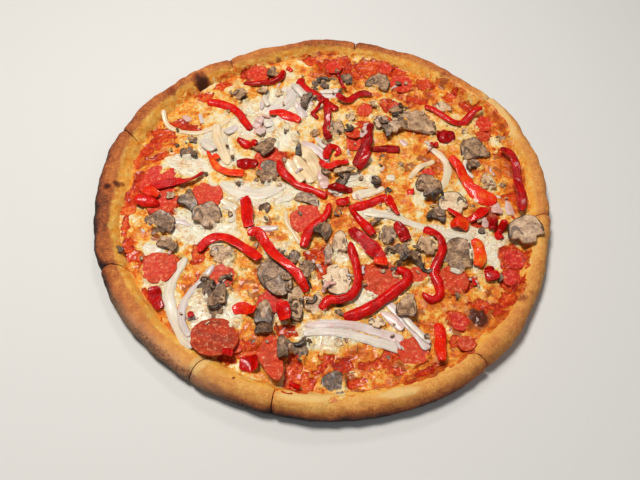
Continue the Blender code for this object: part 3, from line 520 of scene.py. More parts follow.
def softNoise(points, size, seed=0.0):  # smooth noise from -1 to 1, bumps size mm wide
    places = np.asarray(points) * (1000.0 / size) + seed
    cell = np.floor(places).astype(np.int64)
    part = places - cell
    ease = part ** 3 * (part * (part * 6.0 - 15.0) + 10.0)
    total = np.zeros(len(places))
    for corner in np.ndindex(2, 2, 2):
        step = np.array(corner)
        mixed = (cell + step) @ np.array([374761393, 668265263, 1103515245])
        mixed = ((mixed ^ (mixed >> 13)) * 1274126177) & 0x7FFFFFFF
        mixed = mixed ^ (mixed >> 16)
        slope = np.stack([((mixed >> k) & 1023) / 511.5 - 1.0 for k in (0, 8, 16)], axis=1)
        weight = np.prod(np.where(step, ease, 1.0 - ease), axis=1)
        total += weight * ((part - step) * slope).sum(axis=1)
    return total * 1.5


def layered(points, layers):  # noise of several sizes, each with its own rise
    return sum(softNoise(points, size, seed) * rise for size, seed, rise in layers)


def flatPoints(x, y):  # places on the ground
    return np.stack([x.ravel(), y.ravel(), np.zeros(x.size)], axis=1)


def turnBack(dx, dy, degrees):  # an offset as seen along its own turned axes
    turn = math.radians(degrees)
    return dx * math.cos(turn) + dy * math.sin(turn), -dx * math.sin(turn) + dy * math.cos(turn)


def curveThrough(points, count):  # even points on a smooth curve
    p = [np.array(q, float) for q in points]
    p = [2 * p[0] - p[1]] + p + [2 * p[-1] - p[-2]]
    fine = []
    for a, b, c, d in zip(p, p[1:], p[2:], p[3:]):
        for t in np.arange(0.0, 1.0, 0.1):
            fine.append(0.5 * (2 * b + (c - a) * t + (2 * a - 5 * b + 4 * c - d) * t * t
                               + (3 * b - a - 3 * c + d) * t ** 3))
    fine = np.array(fine + [p[-2]])
    walked = np.concatenate([[0.0], np.cumsum(np.linalg.norm(np.diff(fine, axis=0), axis=1))])
    stops = np.linspace(0.0, walked[-1], count)
    return np.stack([np.interp(stops, walked, fine[:, k]) for k in range(fine.shape[1])], axis=1)


def rimTop(x, y):  # height of the dough's upper side
    radius, angle = polar(x, y)
    outer = readRadius(dough["outer"], angle)
    rim = outer - readRadius(dough["inner"], angle)
    inwards = np.clip((outer - radius) / rim, 0.0, None)
    places = [s for s, h in dough["section"][2:]]
    heights = [h for s, h in dough["section"][2:]]
    height = np.interp(inwards, places, heights) * dough["crest"]
    return dough["base"] + np.maximum(height - dough["base"], 0.0) * crestScale(angle)


def cheeseLevel(x, y):  # the CAD's cheese, before the fine relief
    waves = np.sin(x * 61.0 + 1.3) * np.cos(y * 53.0) + 0.6 * np.sin(x * 23.0 + y * 37.0)
    return cheese["level"] + cheese["swell"] * waves / 1.6


def cheeseLumps(x, y, sauce=0.0, pale=0.0):  # fine relief of the cheese in mm
    lumps = layered(flatPoints(x, y), cheese["lumps"])
    return lumps.reshape(x.shape) + pale * 0.5 - sauce * 0.9


class Heap:  # heights of what is in place, on a grid
    def __init__(self):
        self.half = heapForm["half"]
        side = (np.arange(2 * self.half) - self.half + 0.5) * cheese["cell"]
        self.x, self.y = np.meshgrid(side, side, indexing="ij")
        top = cheeseLevel(self.x, self.y) + cheeseLumps(self.x, self.y) * mm
        self.height = np.maximum(top, rimTop(self.x, self.y))
        self.touched = np.zeros_like(self.height)
        self.floor = self.height.copy()
        self.lowTop = self.height.copy()
        self.under = np.full_like(self.height, 1.0)
        self.lowUnder = self.under.copy()
        self.bare = np.zeros_like(self.height)

    def cells(self, values):
        found = np.floor(np.asarray(values) / cheese["cell"]).astype(int) + self.half
        return np.clip(found, 1, 2 * self.half - 2)

    def stamp(self, points):
        layer = np.zeros_like(self.height)
        i, j = self.cells(points[:, 0]), self.cells(points[:, 1])
        np.maximum.at(layer, (i, j), points[:, 2])
        wide = layer.copy()
        low = np.full_like(self.height, 1.0)
        np.minimum.at(low, (i, j), points[:, 2])
        self.touched = np.maximum(self.touched, low < self.floor + heapForm["near"])
        for step in ((0, 0), (1, 0), (-1, 0), (0, 1), (0, -1)):
            wide = np.maximum(wide, np.roll(layer, step, (0, 1)))
            self.under = np.minimum(self.under, np.roll(low, step, (0, 1)))
        self.height = np.maximum(self.height, wide)

    def top(self, x, y):  # the highest of the cell and the eight round it
        i, j = self.cells(x), self.cells(y)
        return np.maximum.reduce([self.height[i + dx, j + dy] for dx in (-1, 0, 1) for dy in (-1, 0, 1)])


def blurred(field, rounds):
    for _ in range(rounds):
        field = (field + np.roll(field, 1, 0) + np.roll(field, -1, 0)
                 + np.roll(field, 1, 1) + np.roll(field, -1, 1)) / 5.0
    return field


def deselect():
    if bpy.context.object and bpy.context.object.mode != "OBJECT":
        bpy.ops.object.mode_set(mode="OBJECT")
    bpy.ops.object.select_all(action="DESELECT")


def pointsOf(piece):
    flat = np.empty(len(piece.data.vertices) * 3)
    piece.data.vertices.foreach_get("co", flat)
    return flat.reshape(-1, 3)


def movePoints(piece, points):
    piece.data.vertices.foreach_set("co", np.ascontiguousarray(points, dtype=np.float32).ravel())
    piece.data.update()


def paint(piece, name, values):  # a value at each vertex for the material
    layer = piece.data.attributes.new(name, "FLOAT", "POINT")
    layer.data.foreach_set("value", np.ascontiguousarray(values, dtype=np.float32))


def unwrap(piece, uv):  # uv at each vertex to the piece's own map
    layer = piece.data.uv_layers.new(name="surface")
    corners = np.empty(len(piece.data.loops), dtype=np.int32)
    piece.data.loops.foreach_get("vertex_index", corners)
    starts = np.array([face.loop_start for face in piece.data.polygons])
    around, along = uv[corners].T
    spans = np.maximum.reduceat(around, starts) - np.minimum.reduceat(around, starts)
    split = np.repeat(spans > 0.5, np.diff(np.append(starts, len(corners))))  # faces across the seam
    around = np.where(split & (around < 0.5), around + 1.0, around)
    layer.data.foreach_set("uv", np.stack([around, along], axis=1).astype(np.float32).ravel())


def pick(piece):
    deselect()
    piece.select_set(True)
    bpy.context.view_layer.objects.active = piece


def openPiece(piece):
    pick(piece)
    bpy.ops.object.mode_set(mode="EDIT")


def closeOutwards():  # turns all faces outwards and leaves edit mode
    bpy.ops.mesh.select_all(action="SELECT")
    bpy.ops.mesh.normals_make_consistent(inside=False)
    bpy.ops.object.mode_set(mode="OBJECT")


def choosePoints(piece, wanted):  # opens the piece in edit mode with these vertices selected
    openPiece(piece)
    bpy.ops.mesh.select_mode(type="VERT")
    bpy.ops.mesh.select_all(action="DESELECT")
    bpy.ops.object.mode_set(mode="OBJECT")
    piece.data.vertices.foreach_set("select", wanted)
    bpy.ops.object.mode_set(mode="EDIT")


def copyOf(master, name):
    piece = master.copy()
    piece.data = master.data.copy()
    piece.name = name
    piece.data.name = name
    bpy.context.scene.collection.objects.link(piece)
    return piece


def dress(piece, recipe, nodes):
    piece.data.materials.clear()
    piece.data.materials.append(recipe.material)
    piece.data.polygons.foreach_set("use_smooth", [True] * len(piece.data.polygons))
    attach(piece, "root")
    if nodes:
        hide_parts(*nodes)


def joined(pieces, name):  # several copies in one mesh
    deselect()
    for piece in pieces:
        piece.select_set(True)
    bpy.context.view_layer.objects.active = pieces[0]
    bpy.ops.object.join()
    pieces[0].name = name
    pieces[0].data.name = name
    return pieces[0]


def crustRecipe():
    look = Recipe("bakedCrust", Specular_IOR_Level=0.2)
    broad = look.grain(30.0, 4.0)
    middle = look.grain(6.0, 5.0, Roughness=0.65)
    fine = look.grain(1.7, 4.0, Roughness=0.75)
    # how dark the crust is: browning, with painted shade and painted light low on the outer wall
    toastAndShade = look.painted("toastAndShade") + (broad - 0.5) * 0.45 + (middle - 0.5) * 0.60 + (fine - 0.5) * 0.80
    colour = look.ramp(toastAndShade, (0.0, tone(244, 190, 104)), (0.2, tone(230, 158, 78)),
                       (0.4, tone(212, 130, 66)), (0.58, tone(180, 96, 50)),
                       (0.74, tone(132, 70, 42)), (0.88, tone(86, 48, 36)), (1.0, tone(52, 32, 26)))
    oil = look.fade(look.painted("oil") + (middle - 0.5) * 0.8, 0.2, 0.75)
    amber = look.ramp(middle + (fine - 0.5) * 0.6, (0.25, tone(240, 134, 36)), (0.40, tone(255, 172, 56)),
                      (0.65, tone(255, 208, 108)))
    colour = look.blend(oil * 0.9, colour, amber)
    flour = look.fade(look.painted("flour") + (fine - 0.5) * 1.6, 0.35, 0.85)
    colour = look.blend(flour * 0.38, colour, tone(228, 180, 138))
    spill = look.fade(look.painted("spill") + (middle - 0.5) * 1.6 + (fine - 0.5) * 1.2, 0.45, 0.95)
    colour = look.blend(spill * 0.7, colour, tone(244, 206, 134))
    crack = look.fade(look.painted("flour") * look.grain(2.1, 4.0), 0.42, 0.56)
    colour = look.blend(crack * 0.5, colour, tone(104, 56, 40))
    burnt = look.painted("char") + (middle - 0.5) * 0.9 + (fine - 0.5) * 0.6
    colour = look.blend(look.fade(burnt, 0.22, 0.55) * 0.8, colour, tone(150, 66, 34))
    char = look.fade(burnt, 0.50, 0.95)
    colour = look.blend(char * 0.92, colour, tone(56, 24, 18))
    look.surface(colour, 0.74 - oil * 0.36 - (broad - 0.5) * 0.2)
    look.relief(middle * 0.9 + fine * 0.7 + broad * 0.6 - crack * 0.3, 1.5, 0.95)
    return look


def cheeseRecipe():
    look = Recipe("meltedCheese", Subsurface_Weight=0.10, Subsurface_Scale=0.002, Coat_Roughness=0.18,
                  Coat_Weight=0.25, Specular_IOR_Level=0.2)
    broad = look.grain(16.0, 3.0)
    middle = look.grain(6.0, 5.0, Roughness=0.62)
    fine = look.grain(2.0, 4.0, Roughness=0.7)
    rough = (middle - 0.5) * 1.1 + (fine - 0.5) * 0.7
    warm = 0.465 + look.painted("grease") * 0.31 - look.painted("pale") * 0.34 \
        - look.painted("lump") * 0.16 + (broad - 0.5) * 0.9 + rough * 0.95
    colour = look.ramp(warm, (0.0, tone(244, 236, 210)), (0.28, tone(242, 224, 176)),
                       (0.44, tone(247, 202, 108)), (0.59, tone(244, 158, 50)),
                       (0.76, tone(228, 104, 20)), (1.0, tone(170, 50, 10)))
    seam = look.sum("ABSOLUTE", look.grain(7.5, 4.0, Roughness=0.6) - 0.5)
    seam = (1.0 - look.fade(seam, 0.0, 0.05)) * look.fade(broad, 0.35, 0.6)
    colour = look.blend(seam * 0.6, colour, tone(224, 128, 42))
    pit = look.fade(look.grain(3.4, 3.0, Roughness=0.6), 0.60, 0.70)
    colour = look.blend(pit * 0.45, colour, tone(238, 172, 88))
    pink = look.fade(look.grain(9.0, 3.0), 0.55, 0.72)
    colour = look.blend(pink * 0.40, colour, tone(234, 170, 130))
    # toasted spots, and the darker band at the crust, part toasting and part painted shade in the crease
    toastAndShade = look.fade(look.painted("toastAndShade") + rough * 0.7, 0.35, 0.8)
    colour = look.blend(toastAndShade * 0.9, colour, look.blend(fine, tone(136, 58, 26), tone(200, 104, 42)))
    halo = look.fade(look.painted("sauce") + rough * 0.8, 0.10, 0.5)
    colour = look.blend(halo * 0.7, colour, tone(236, 112, 24))
    clots = look.grain(3.6, 4.0, Roughness=0.65)
    sauce = look.fade(look.painted("sauce") + (clots - 0.5) * 2.2 + rough * 0.5, 0.31, 0.60)
    red = look.ramp(clots + (broad - 0.5) * 0.7 + (fine - 0.5) * 0.9, (0.22, tone(238, 136, 60)),
                    (0.38, tone(226, 84, 20)), (0.55, tone(206, 44, 8)), (0.75, tone(152, 18, 4)))
    colour = look.blend(sauce * 0.96, colour, red)
    specks = look.fade(look.grain(2.2, 2.0), 0.67, 0.73)
    colour = look.blend(specks * 0.75, colour, tone(104, 56, 34))
    char = look.fade(look.painted("char") + rough * 0.5, 0.4, 0.8)
    colour = look.blend(char, colour, look.blend(fine, tone(54, 22, 14), tone(124, 56, 32)))
    look.surface(colour, 0.44 - halo * 0.16 + (fine - 0.5) * 0.4)
    look.relief(middle * 1.0 + fine * 0.6 - sauce * 0.5 - seam * 0.15 - pit * 0.15, 1.9, 0.95)
    return look


def pepperRecipe():
    look = Recipe("redPepper", Coat_Weight=0.22, Coat_Roughness=0.10, Specular_IOR_Level=0.15)
    uv = look.node("UVMap", {"uv_map": "surface"})
    around = look.node("SeparateXYZ", _0=uv)  # 0 to 0.5 over the skin, 0.5 to 1 inside
    patch = look.grain(8.0, 3.0)
    fine = look.grain(2.4, 4.0, Roughness=0.6)
    streaks = look.node("TexNoise", Vector=look.node("Mapping", _0=uv, Scale=(14.0, 60.0, 1.0)),
                        Scale=1.0, Detail=3.0)
    hue = look.painted("tint") + (patch - 0.5) * 0.7 + (fine - 0.5) * 0.3 + (streaks - 0.5) * 0.5
    skin = look.ramp(hue, (0.05, tone(110, 2, 2)), (0.30, tone(172, 3, 2)), (0.52, tone(216, 9, 2)),
                     (0.7, tone(234, 36, 4)), (0.85, tone(240, 76, 14)), (1.0, tone(246, 124, 34)))
    flesh = look.fade(look.sum("ABSOLUTE", around - 0.75), 0.16, 0.24)
    colour = look.blend(flesh, tone(186, 48, 26), skin)
    # a lighter line along one side edge: the pale flesh at the cut, and partly a painted highlight of sheen
    edge = 1.0 - look.fade(look.sum("ABSOLUTE", around - 0.5), 0.03, 0.09)
    colour = look.blend(edge * 0.65, colour, tone(240, 104, 52))
    look.surface(colour, 0.30 + (patch - 0.5) * 0.25 + (fine - 0.5) * 0.25)
    look.relief(patch * 1.1 + fine * 0.6 + streaks * 0.8 + look.grain(5.0, 2.0) * 0.9, 1.3, 0.85)
    return look


def onionRecipe():
    look = Recipe("cookedOnion", Coat_Weight=0.25, Coat_Roughness=0.2, Subsurface_Weight=0.15,
                  Subsurface_Scale=0.002)
    uv = look.node("UVMap", {"uv_map": "surface"})
    lines = look.node("TexNoise", Vector=look.node("Mapping", _0=uv, Scale=(22.0, 2.5, 1.0)), Scale=1.0)
    patch = look.grain(8.0, 3.0)
    fine = look.grain(2.0, 3.0)
    mood = look.painted("tint") + (patch - 0.5) * 0.5
    base = look.ramp(mood, (0.0, tone(238, 206, 156)), (0.3, tone(228, 216, 192)),
                     (0.6, tone(216, 200, 194)), (1.0, tone(226, 152, 132)))
    colour = look.blend(look.fade(lines, 0.46, 0.70) * 0.38, base, tone(178, 138, 108))
    colour = look.blend(look.fade(fine, 0.6, 0.75) * 0.4, colour, tone(232, 176, 120))
    look.surface(colour, 0.36 + (patch - 0.5) * 0.2)
    look.relief(lines * 0.8 + patch * 0.6 + fine * 0.4, 0.6, 0.8)
    return look


def mushroomRecipe():
    look = Recipe("friedMushroom", Specular_IOR_Level=0.45, Coat_Weight=0.2, Coat_Roughness=0.25)
    patch = look.grain(7.0, 4.0)
    fine = look.grain(1.8, 5.0, Roughness=0.7)
    dark = look.painted("tint") + 0.03 + (patch - 0.5) * 0.95 + (fine - 0.5) * 1.0
    flesh = look.ramp(dark, (0.0, tone(244, 220, 182)), (0.28, tone(216, 178, 138)),
                      (0.48, tone(180, 139, 102)), (0.70, tone(118, 84, 58)), (0.95, tone(42, 30, 22)))
    gills = look.fade(look.painted("gill") + (fine - 0.5) * 0.8 + (patch - 0.5) * 0.4, 0.24, 0.46)
    ribs = look.fade(fine + (patch - 0.5) * 0.4, 0.36, 0.66)
    colour = look.blend(gills * 0.9, flesh, look.blend(ribs, tone(34, 24, 18), tone(132, 98, 70)))
    skin = look.fade(look.painted("skin") + (fine - 0.5) * 0.5 + (patch - 0.5) * 0.7, 0.5, 0.95)
    colour = look.blend(skin * 0.95, colour, tone(58, 38, 26))
    look.surface(colour, 0.44 + (patch - 0.5) * 0.3)
    look.relief(fine * 0.6 + patch * 0.7 - gills * 0.6, 0.9, 0.8)
    return look


def salamiRecipe():
    look = Recipe("hotSalami", Coat_Weight=0.04, Coat_Roughness=0.2, Specular_IOR_Level=0.2)
    patch = look.grain(8.0, 4.0)
    fat = look.grain(3.2, 4.0, Roughness=0.65)
    fine = look.grain(1.3, 3.0)
    mood = look.painted("tint") + (patch - 0.5) * 0.95 + (fat - 0.5) * 0.4
    meat = look.ramp(mood, (0.0, tone(208, 42, 38)), (0.3, tone(216, 46, 24)),
                     (0.55, tone(212, 64, 22)), (0.8, tone(186, 56, 18)), (1.0, tone(142, 46, 18)))
    colour = look.blend(look.fade(fat, 0.52, 0.68) * 0.65, meat, tone(230, 128, 86))
    colour = look.blend(look.fade(fine + fat, 1.10, 1.26) * 0.5, colour, tone(244, 178, 138))
    colour = look.blend(look.fade(1.0 - fat, 0.52, 0.66) * 0.6, colour, tone(148, 34, 20))
    colour = look.blend(look.painted("skin") * 0.35, colour, tone(196, 62, 14))
    look.surface(colour, 0.42 + (fat - 0.5) * 0.4)
    look.relief(fat * 0.9 + fine * 0.4 + patch * 0.9, 1.0, 0.9)
    return look


def cutNormal(degrees):  # square to a cut, on the side away from the slice that it starts
    turn = math.radians(degrees)
    return Vector((math.sin(turn), -math.cos(turn), 0.0))


def cutDistance(x, y):  # distance in metres to the nearest cut, on its own side
    nearest = np.full(np.shape(x), 1.0)
    for angle in dough["cuts"]:
        ahead, aside = turnBack(x - dough["crossing"][0], y - dough["crossing"][1], angle)
        nearest = np.where(ahead > 0.0, np.minimum(nearest, np.abs(aside)), nearest)
    return nearest


def nearCut(distance, soft):  # 1 at a cut and 0 well away from it
    return np.exp(-(distance / soft) ** 2)


def sliceCopies(whole, names, gap):  # cut a whole layer along the cuts, closing each face
    cuts = dough["cuts"]
    middle = Vector((*dough["crossing"], 0.0))
    pieces = []
    for i, name in enumerate(names):
        piece = copyOf(whole, name)
        openPiece(piece)
        low = cutNormal(cuts[i])
        high = -cutNormal(cuts[(i + 1) % len(cuts)])
        for normal in (low, high):
            bpy.ops.mesh.select_all(action="SELECT")
            bpy.ops.mesh.bisect(plane_co=middle - normal * gap / 2.0, plane_no=normal,
                                use_fill=True, clear_outer=True)
        closeOutwards()
        pieces.append(piece)
    bpy.data.objects.remove(whole)
    return pieces


def patchField(x, y, patches, soft):  # 1 in the middle of a patch, 0 well outside
    field = np.zeros(np.shape(x))
    for px, py, wide, long, turn in patches:
        place = spot((px, py))
        across, along = turnBack((x - place[0]) / mm, (y - place[1]) / mm, turn)
        far = np.hypot(across / wide, along / long)
        field = np.maximum(field, np.clip(1.0 + soft - far * soft, 0.0, 1.0))
    return field


def paintCrust(ring, points, degrees, inwards, aside, below):  # how browned, oily and floury it is, with painted shade and painted light low on the outer wall
    # darker low on the outer wall: part browning, part painted shade
    low = sum(np.clip((start - points[:, 2]) / depth, 0.0, 1.0) * share
              for start, depth, share in browningAndShade["heights"]) * (inwards < browningAndShade["lowUntil"])
    toastAndShade = browningAndShade["all"] + low * browningAndShade["low"] - np.clip(inwards - 0.3, 0.0, 0.7) * browningAndShade["inner"]
    for side, spread, crown, lower in crustSides:
        # each side's browning, with painted shade and painted light low on the outer wall
        away = (degrees - side + 180.0) % 360.0 - 180.0
        toastAndShade += np.exp(-(away / spread) ** 2) * (crown * (1.0 - low) + lower * low * browningAndShade["side"])
    toastAndShade += layered(points, browningAndShade["patches"])
    toastAndShade += nearCut(aside, browningAndShade["cutSoft"]) * browningAndShade["cut"]
    toastAndShade = np.where(below, browningAndShade["below"] + layered(points, browningAndShade["patchesBelow"]), toastAndShade)
    oil = np.clip((inwards - 0.52) / 0.3, 0.0, 1.0) * (0.85 + 0.35 * softNoise(points, 30.0, 41.0))
    flour = browningAndShade["flour"]
    floury = np.exp(-((degrees - flour["side"]) / flour["spread"]) ** 2)
    spill = patchField(points[:, 0], points[:, 1], cheeseSpills, cheese["soft"]["spill"])
    paint(ring, "toastAndShade", toastAndShade)
    paint(ring, "oil", oil)
    paint(ring, "flour", floury * np.clip(1.2 - inwards * 1.6, 0.0, 1.0))
    paint(ring, "spill", spill * (inwards > 0.15))


def makeCrust(look):
    section = curveThrough(dough["section"], dough["rows"])[::-1]
    inside = np.array([0.0, 0.5625, 0.9])  # rows under the cheese, as shares of the foot's radius
    count = len(section)
    rows = len(inside) + count + 2
    deselect()
    bpy.ops.mesh.primitive_grid_add(x_subdivisions=dough["turns"], y_subdivisions=rows - 1, size=2.0)
    ring = bpy.context.object
    points = pointsOf(ring)
    turn = (points[:, 0] + 1.0) * math.pi
    row = np.rint((points[:, 1] + 1.0) / 2.0 * (rows - 1)).astype(int)
    outer = readRadius(dough["outer"], turn)
    rim = outer - readRadius(dough["inner"], turn)
    foot = outer - dough["foot"] * rim
    stop = np.clip(row - len(inside), 0, count - 1)
    radius = outer - section[stop, 0] * rim
    height = section[stop, 1] * dough["crest"]
    height = np.where(height > dough["base"],
                      dough["base"] + (height - dough["base"]) * crestScale(turn), height)
    hidden = row < len(inside)
    radius = np.where(hidden, foot * inside[np.clip(row, 0, len(inside) - 1)], radius)
    height = np.where(hidden, dough["base"], height)
    under = row - len(inside) - count
    radius = np.where(under == 0, foot * 0.6, np.where(under == 1, 0.0, radius))
    height = np.where(under >= 0, 0.0, height)
    points = np.stack([radius * np.cos(turn) + eye["shift"] * mm, radius * np.sin(turn), height], axis=1)

    # lumps and blisters push the rim out along its section's normal
    lift = np.clip((height - dough["liftFrom"]) / dough["liftOver"], 0.0, 1.0) * ~hidden
    middle = np.stack([(outer - 0.5 * rim) * np.cos(turn) + eye["shift"] * mm,
                       (outer - 0.5 * rim) * np.sin(turn), np.full(len(turn), dough["bulge"])], axis=1)
    outwards = points - middle
    outwards /= np.maximum(np.linalg.norm(outwards, axis=1, keepdims=True), 1e-9)
    char = np.zeros(len(points))
    rise = layered(points, dough["lumps"]) * mm
    standing = points[:, 2] > dough["blisterFrom"]
    for x, y, size, up, darkness in blisters:
        place = spot((x, y))
        far = np.hypot(points[:, 0] - place[0], points[:, 1] - place[1]) / (size * mm)
        rise += np.exp(-(far / 0.85) ** 2) * standing * up * mm
        char = np.maximum(char, np.exp(-(far / 1.05) ** 3) * darkness * standing)
    aside = cutDistance(points[:, 0], points[:, 1])
    rise -= nearCut(aside, dough["cutSoft"]) * dough["cutSink"]
    points += outwards * (rise * lift)[:, None]
    movePoints(ring, points)

    inwards = np.where(hidden, 1.3, np.where(under >= 0, -0.6, (outer - radius) / rim))
    paintCrust(ring, points, np.degrees(turn) % 360.0, inwards, aside, under >= 0)
    paint(ring, "char", char)

    openPiece(ring)
    bpy.ops.mesh.select_all(action="SELECT")
    bpy.ops.mesh.remove_doubles(threshold=0.02 * mm)
    closeOutwards()
    names = [f"slice{i}Crust" for i in range(1, 10)]
    for i, piece in enumerate(sliceCopies(ring, names, dough["gap"]), start=1):
        dress(piece, look, [f"slice_{i}_dough"])
        pick(piece)
        bpy.ops.object.shade_smooth_by_angle(angle=math.radians(dough["sharp"]))
    print("crust made")


def closeBelow(sheet, level):  # walls down to a level, then a flat underside
    openPiece(sheet)
    bpy.ops.mesh.select_all(action="SELECT")
    bpy.ops.mesh.region_to_loop()
    bpy.ops.mesh.extrude_region_move()
    bpy.ops.object.mode_set(mode="OBJECT")
    below = np.empty(len(sheet.data.vertices), dtype=bool)
    sheet.data.vertices.foreach_get("select", below)
    points = pointsOf(sheet)
    points[below, 2] = level
    movePoints(sheet, points)
    bpy.ops.object.mode_set(mode="EDIT")
    bpy.ops.mesh.edge_face_add()
    closeOutwards()


def meltedLevel(level, flat, heap):  # the cheese's height where toppings lie on it or in it
    i, j = heap.cells(flat[:, 0]), heap.cells(flat[:, 1])
    wet = blurred(heap.touched, 6)[i, j]
    level = level + np.clip(wet * 1.5, 0.0, 1.0) * cheese["wet"]

    # it creeps over the edges of low toppings, less over onions, and stays under high ones
    covered = blurred((heap.lowTop > heap.floor + cheese["over"]).astype(float), 10)[i, j]
    least, most = cheese["covered"]
    creep = np.clip(layered(flat, cheese["creep"]) + 0.3, 0.0, 1.0)
    creep *= np.clip((covered - least) / 0.2, 0.0, 1.0) * np.clip((most - covered) / 0.08, 0.0, 1.0)
    over = heap.lowTop[i, j] + cheese["over"]
    creep *= np.clip((cheese["climb"] - over + level) / mm, 0.0, 1.0) * (1.0 - 0.8 * heap.bare[i, j])
    level = np.minimum(level, heap.lowUnder[i, j] + cheese["underLow"])
    level = np.where(over > level, level + (over - level) * np.clip(creep * 2.0, 0.0, 1.0), level)
    return np.minimum(level, heap.under[i, j] + cheese["underHigh"])


def makeCheese(look, heap):
    count = int(2 * cheese["side"] / cheese["cell"])
    deselect()
    bpy.ops.mesh.primitive_grid_add(x_subdivisions=count, y_subdivisions=count, size=2 * cheese["side"])
    sheet = bpy.context.object
    points = pointsOf(sheet)
    radius, angle = polar(points[:, 0], points[:, 1])
    edge = readRadius(cheese["edge"], angle)
    inside = edge + layered(points, cheese["wander"]) * mm - radius
    keep = radius <= edge + cheese["beyond"]
    choosePoints(sheet, ~keep)
    bpy.ops.mesh.delete(type="VERT")
    bpy.ops.object.mode_set(mode="OBJECT")
    points, inside = points[keep], inside[keep]

    x, y = points[:, 0], points[:, 1]
    flat = flatPoints(x, y)
    bentX = x + layered(flat, cheese["bendX"]) * mm
    bentY = y + layered(flat, cheese["bendY"]) * mm
    soft = cheese["soft"]
    sauce = patchField(bentX, bentY, saucePatches, soft["sauce"])
    grease = patchField(bentX, bentY, greasePatches, soft["grease"])
    toastAndShade = patchField(bentX, bentY, toastSpots, soft["toastAndShade"])
    pale = patchField(bentX, bentY, paleAreas, soft["pale"])
    relief = cheeseLumps(x, y, sauce, pale)
    level = meltedLevel(cheeseLevel(x, y) + relief * mm, flat, heap)
    bubble = cheese["bubble"]
    place = spot(bubble["place"])
    far = np.hypot(bentX - place[0], bentY - place[1]) / bubble["radius"]
    dome = bubble["rise"] + softNoise(points, 4.0, 97.0) * bubble["rough"]
    level += dome * mm * np.exp(-(far / 0.85) ** 4)

    # a thin film over the rim, which dips into the crust where the cheese ends
    rimmed = rimTop(x, y)
    film = cheese["film"] * np.clip(inside / cheese["filmSoft"], -2.0, 1.0) + relief * 0.25 * mm
    points[:, 2] = np.where(rimmed > level - 0.6 * mm, rimmed + film, level)
    points[:, 2] = np.where(inside < 0.0, np.minimum(points[:, 2], rimmed - cheese["dive"]), points[:, 2])
    points[:, 2] -= nearCut(cutDistance(x, y), cheese["cutSoft"]) * cheese["cutSink"]
    movePoints(sheet, points)
    near = np.clip(1.0 - inside / cheese["greaseWide"], 0.0, 1.0)
    # a darker band where the cheese meets the crust: part toasting, part painted shade in the crease
    join = np.clip(inside / cheese["toastAndShadeWide"], 0.0, 1.0)
    paint(sheet, "sauce", sauce)
    paint(sheet, "grease", grease * 0.75 + near * 0.45)
    paint(sheet, "toastAndShade", toastAndShade * 0.8 + (1.0 - join) * 0.35)
    paint(sheet, "pale", pale)
    paint(sheet, "lump", np.clip(relief, -1.5, 1.5))
    paint(sheet, "char", np.exp(-(far / 0.95) ** 6))

    closeBelow(sheet, dough["base"] + cheese["clear"])
    names = [f"slice{i}Cheese" for i in range(1, 10)]
    for i, piece in enumerate(sliceCopies(sheet, names, cheese["gap"]), start=1):
        dress(piece, look, [f"slice_{i}_cheese"])
    print("cheese made")


def straightStrip(sides, steps):  # the straight bar that peppers, onions and curls are bent from
    deselect()
    bpy.ops.mesh.primitive_cylinder_add(vertices=sides, radius=0.5, depth=1.0)
    bar = bpy.context.object
    bpy.ops.object.mode_set(mode="EDIT")
    bpy.ops.mesh.select_mode(type="EDGE")
    bpy.ops.mesh.select_all(action="DESELECT")
    bpy.ops.object.mode_set(mode="OBJECT")
    for edge in bar.data.edges:
        a, b = (bar.data.vertices[i].co for i in edge.vertices)
        edge.select = abs(a.z - b.z) > 0.5
    bpy.ops.object.mode_set(mode="EDIT")
    bpy.ops.mesh.subdivide(number_cuts=steps)
    bpy.ops.object.mode_set(mode="OBJECT")
    return bar


def flatBlank(segments, rings):  # the round blank that every slice of a topping is shaped from
    deselect()
    bpy.ops.mesh.primitive_uv_sphere_add(segments=segments, ring_count=rings, radius=1.0)
    return bpy.context.object


def castTop(tree, x, y):  # height of the CAD piece at a place, from above
    hit = tree.ray_cast(Vector((x, y, 0.2)), Vector((0.0, 0.0, -1.0)))[0]
    return hit.z if hit else float("nan")


def filled(values):  # bridges the places that no ray hit
    values = np.array(values)
    good = ~np.isnan(values)
    return np.interp(np.arange(len(values)), np.flatnonzero(good), values[good])


def smoothAlong(values, rounds):
    values = np.array(values)
    for _ in range(rounds):
        padded = np.concatenate([values[:1], values, values[-1:]])
        values = (padded[:-2] + 2.0 * padded[1:-1] + padded[2:]) / 4.0
    return values


def seedOf(name):  # a number from a name, the same each run
    total = 0
    for letter in name:
        total = (total * 31 + ord(letter)) % 9973
    return total * 0.37


def ripple(places, *where):  # noise from -1 to 1 at each place along a row
    return np.array([noise.noise(Vector((place, *where))) for place in places])


def squared(values, power):  # rounds a circle out towards a square
    return np.sign(values) * np.abs(values) ** power


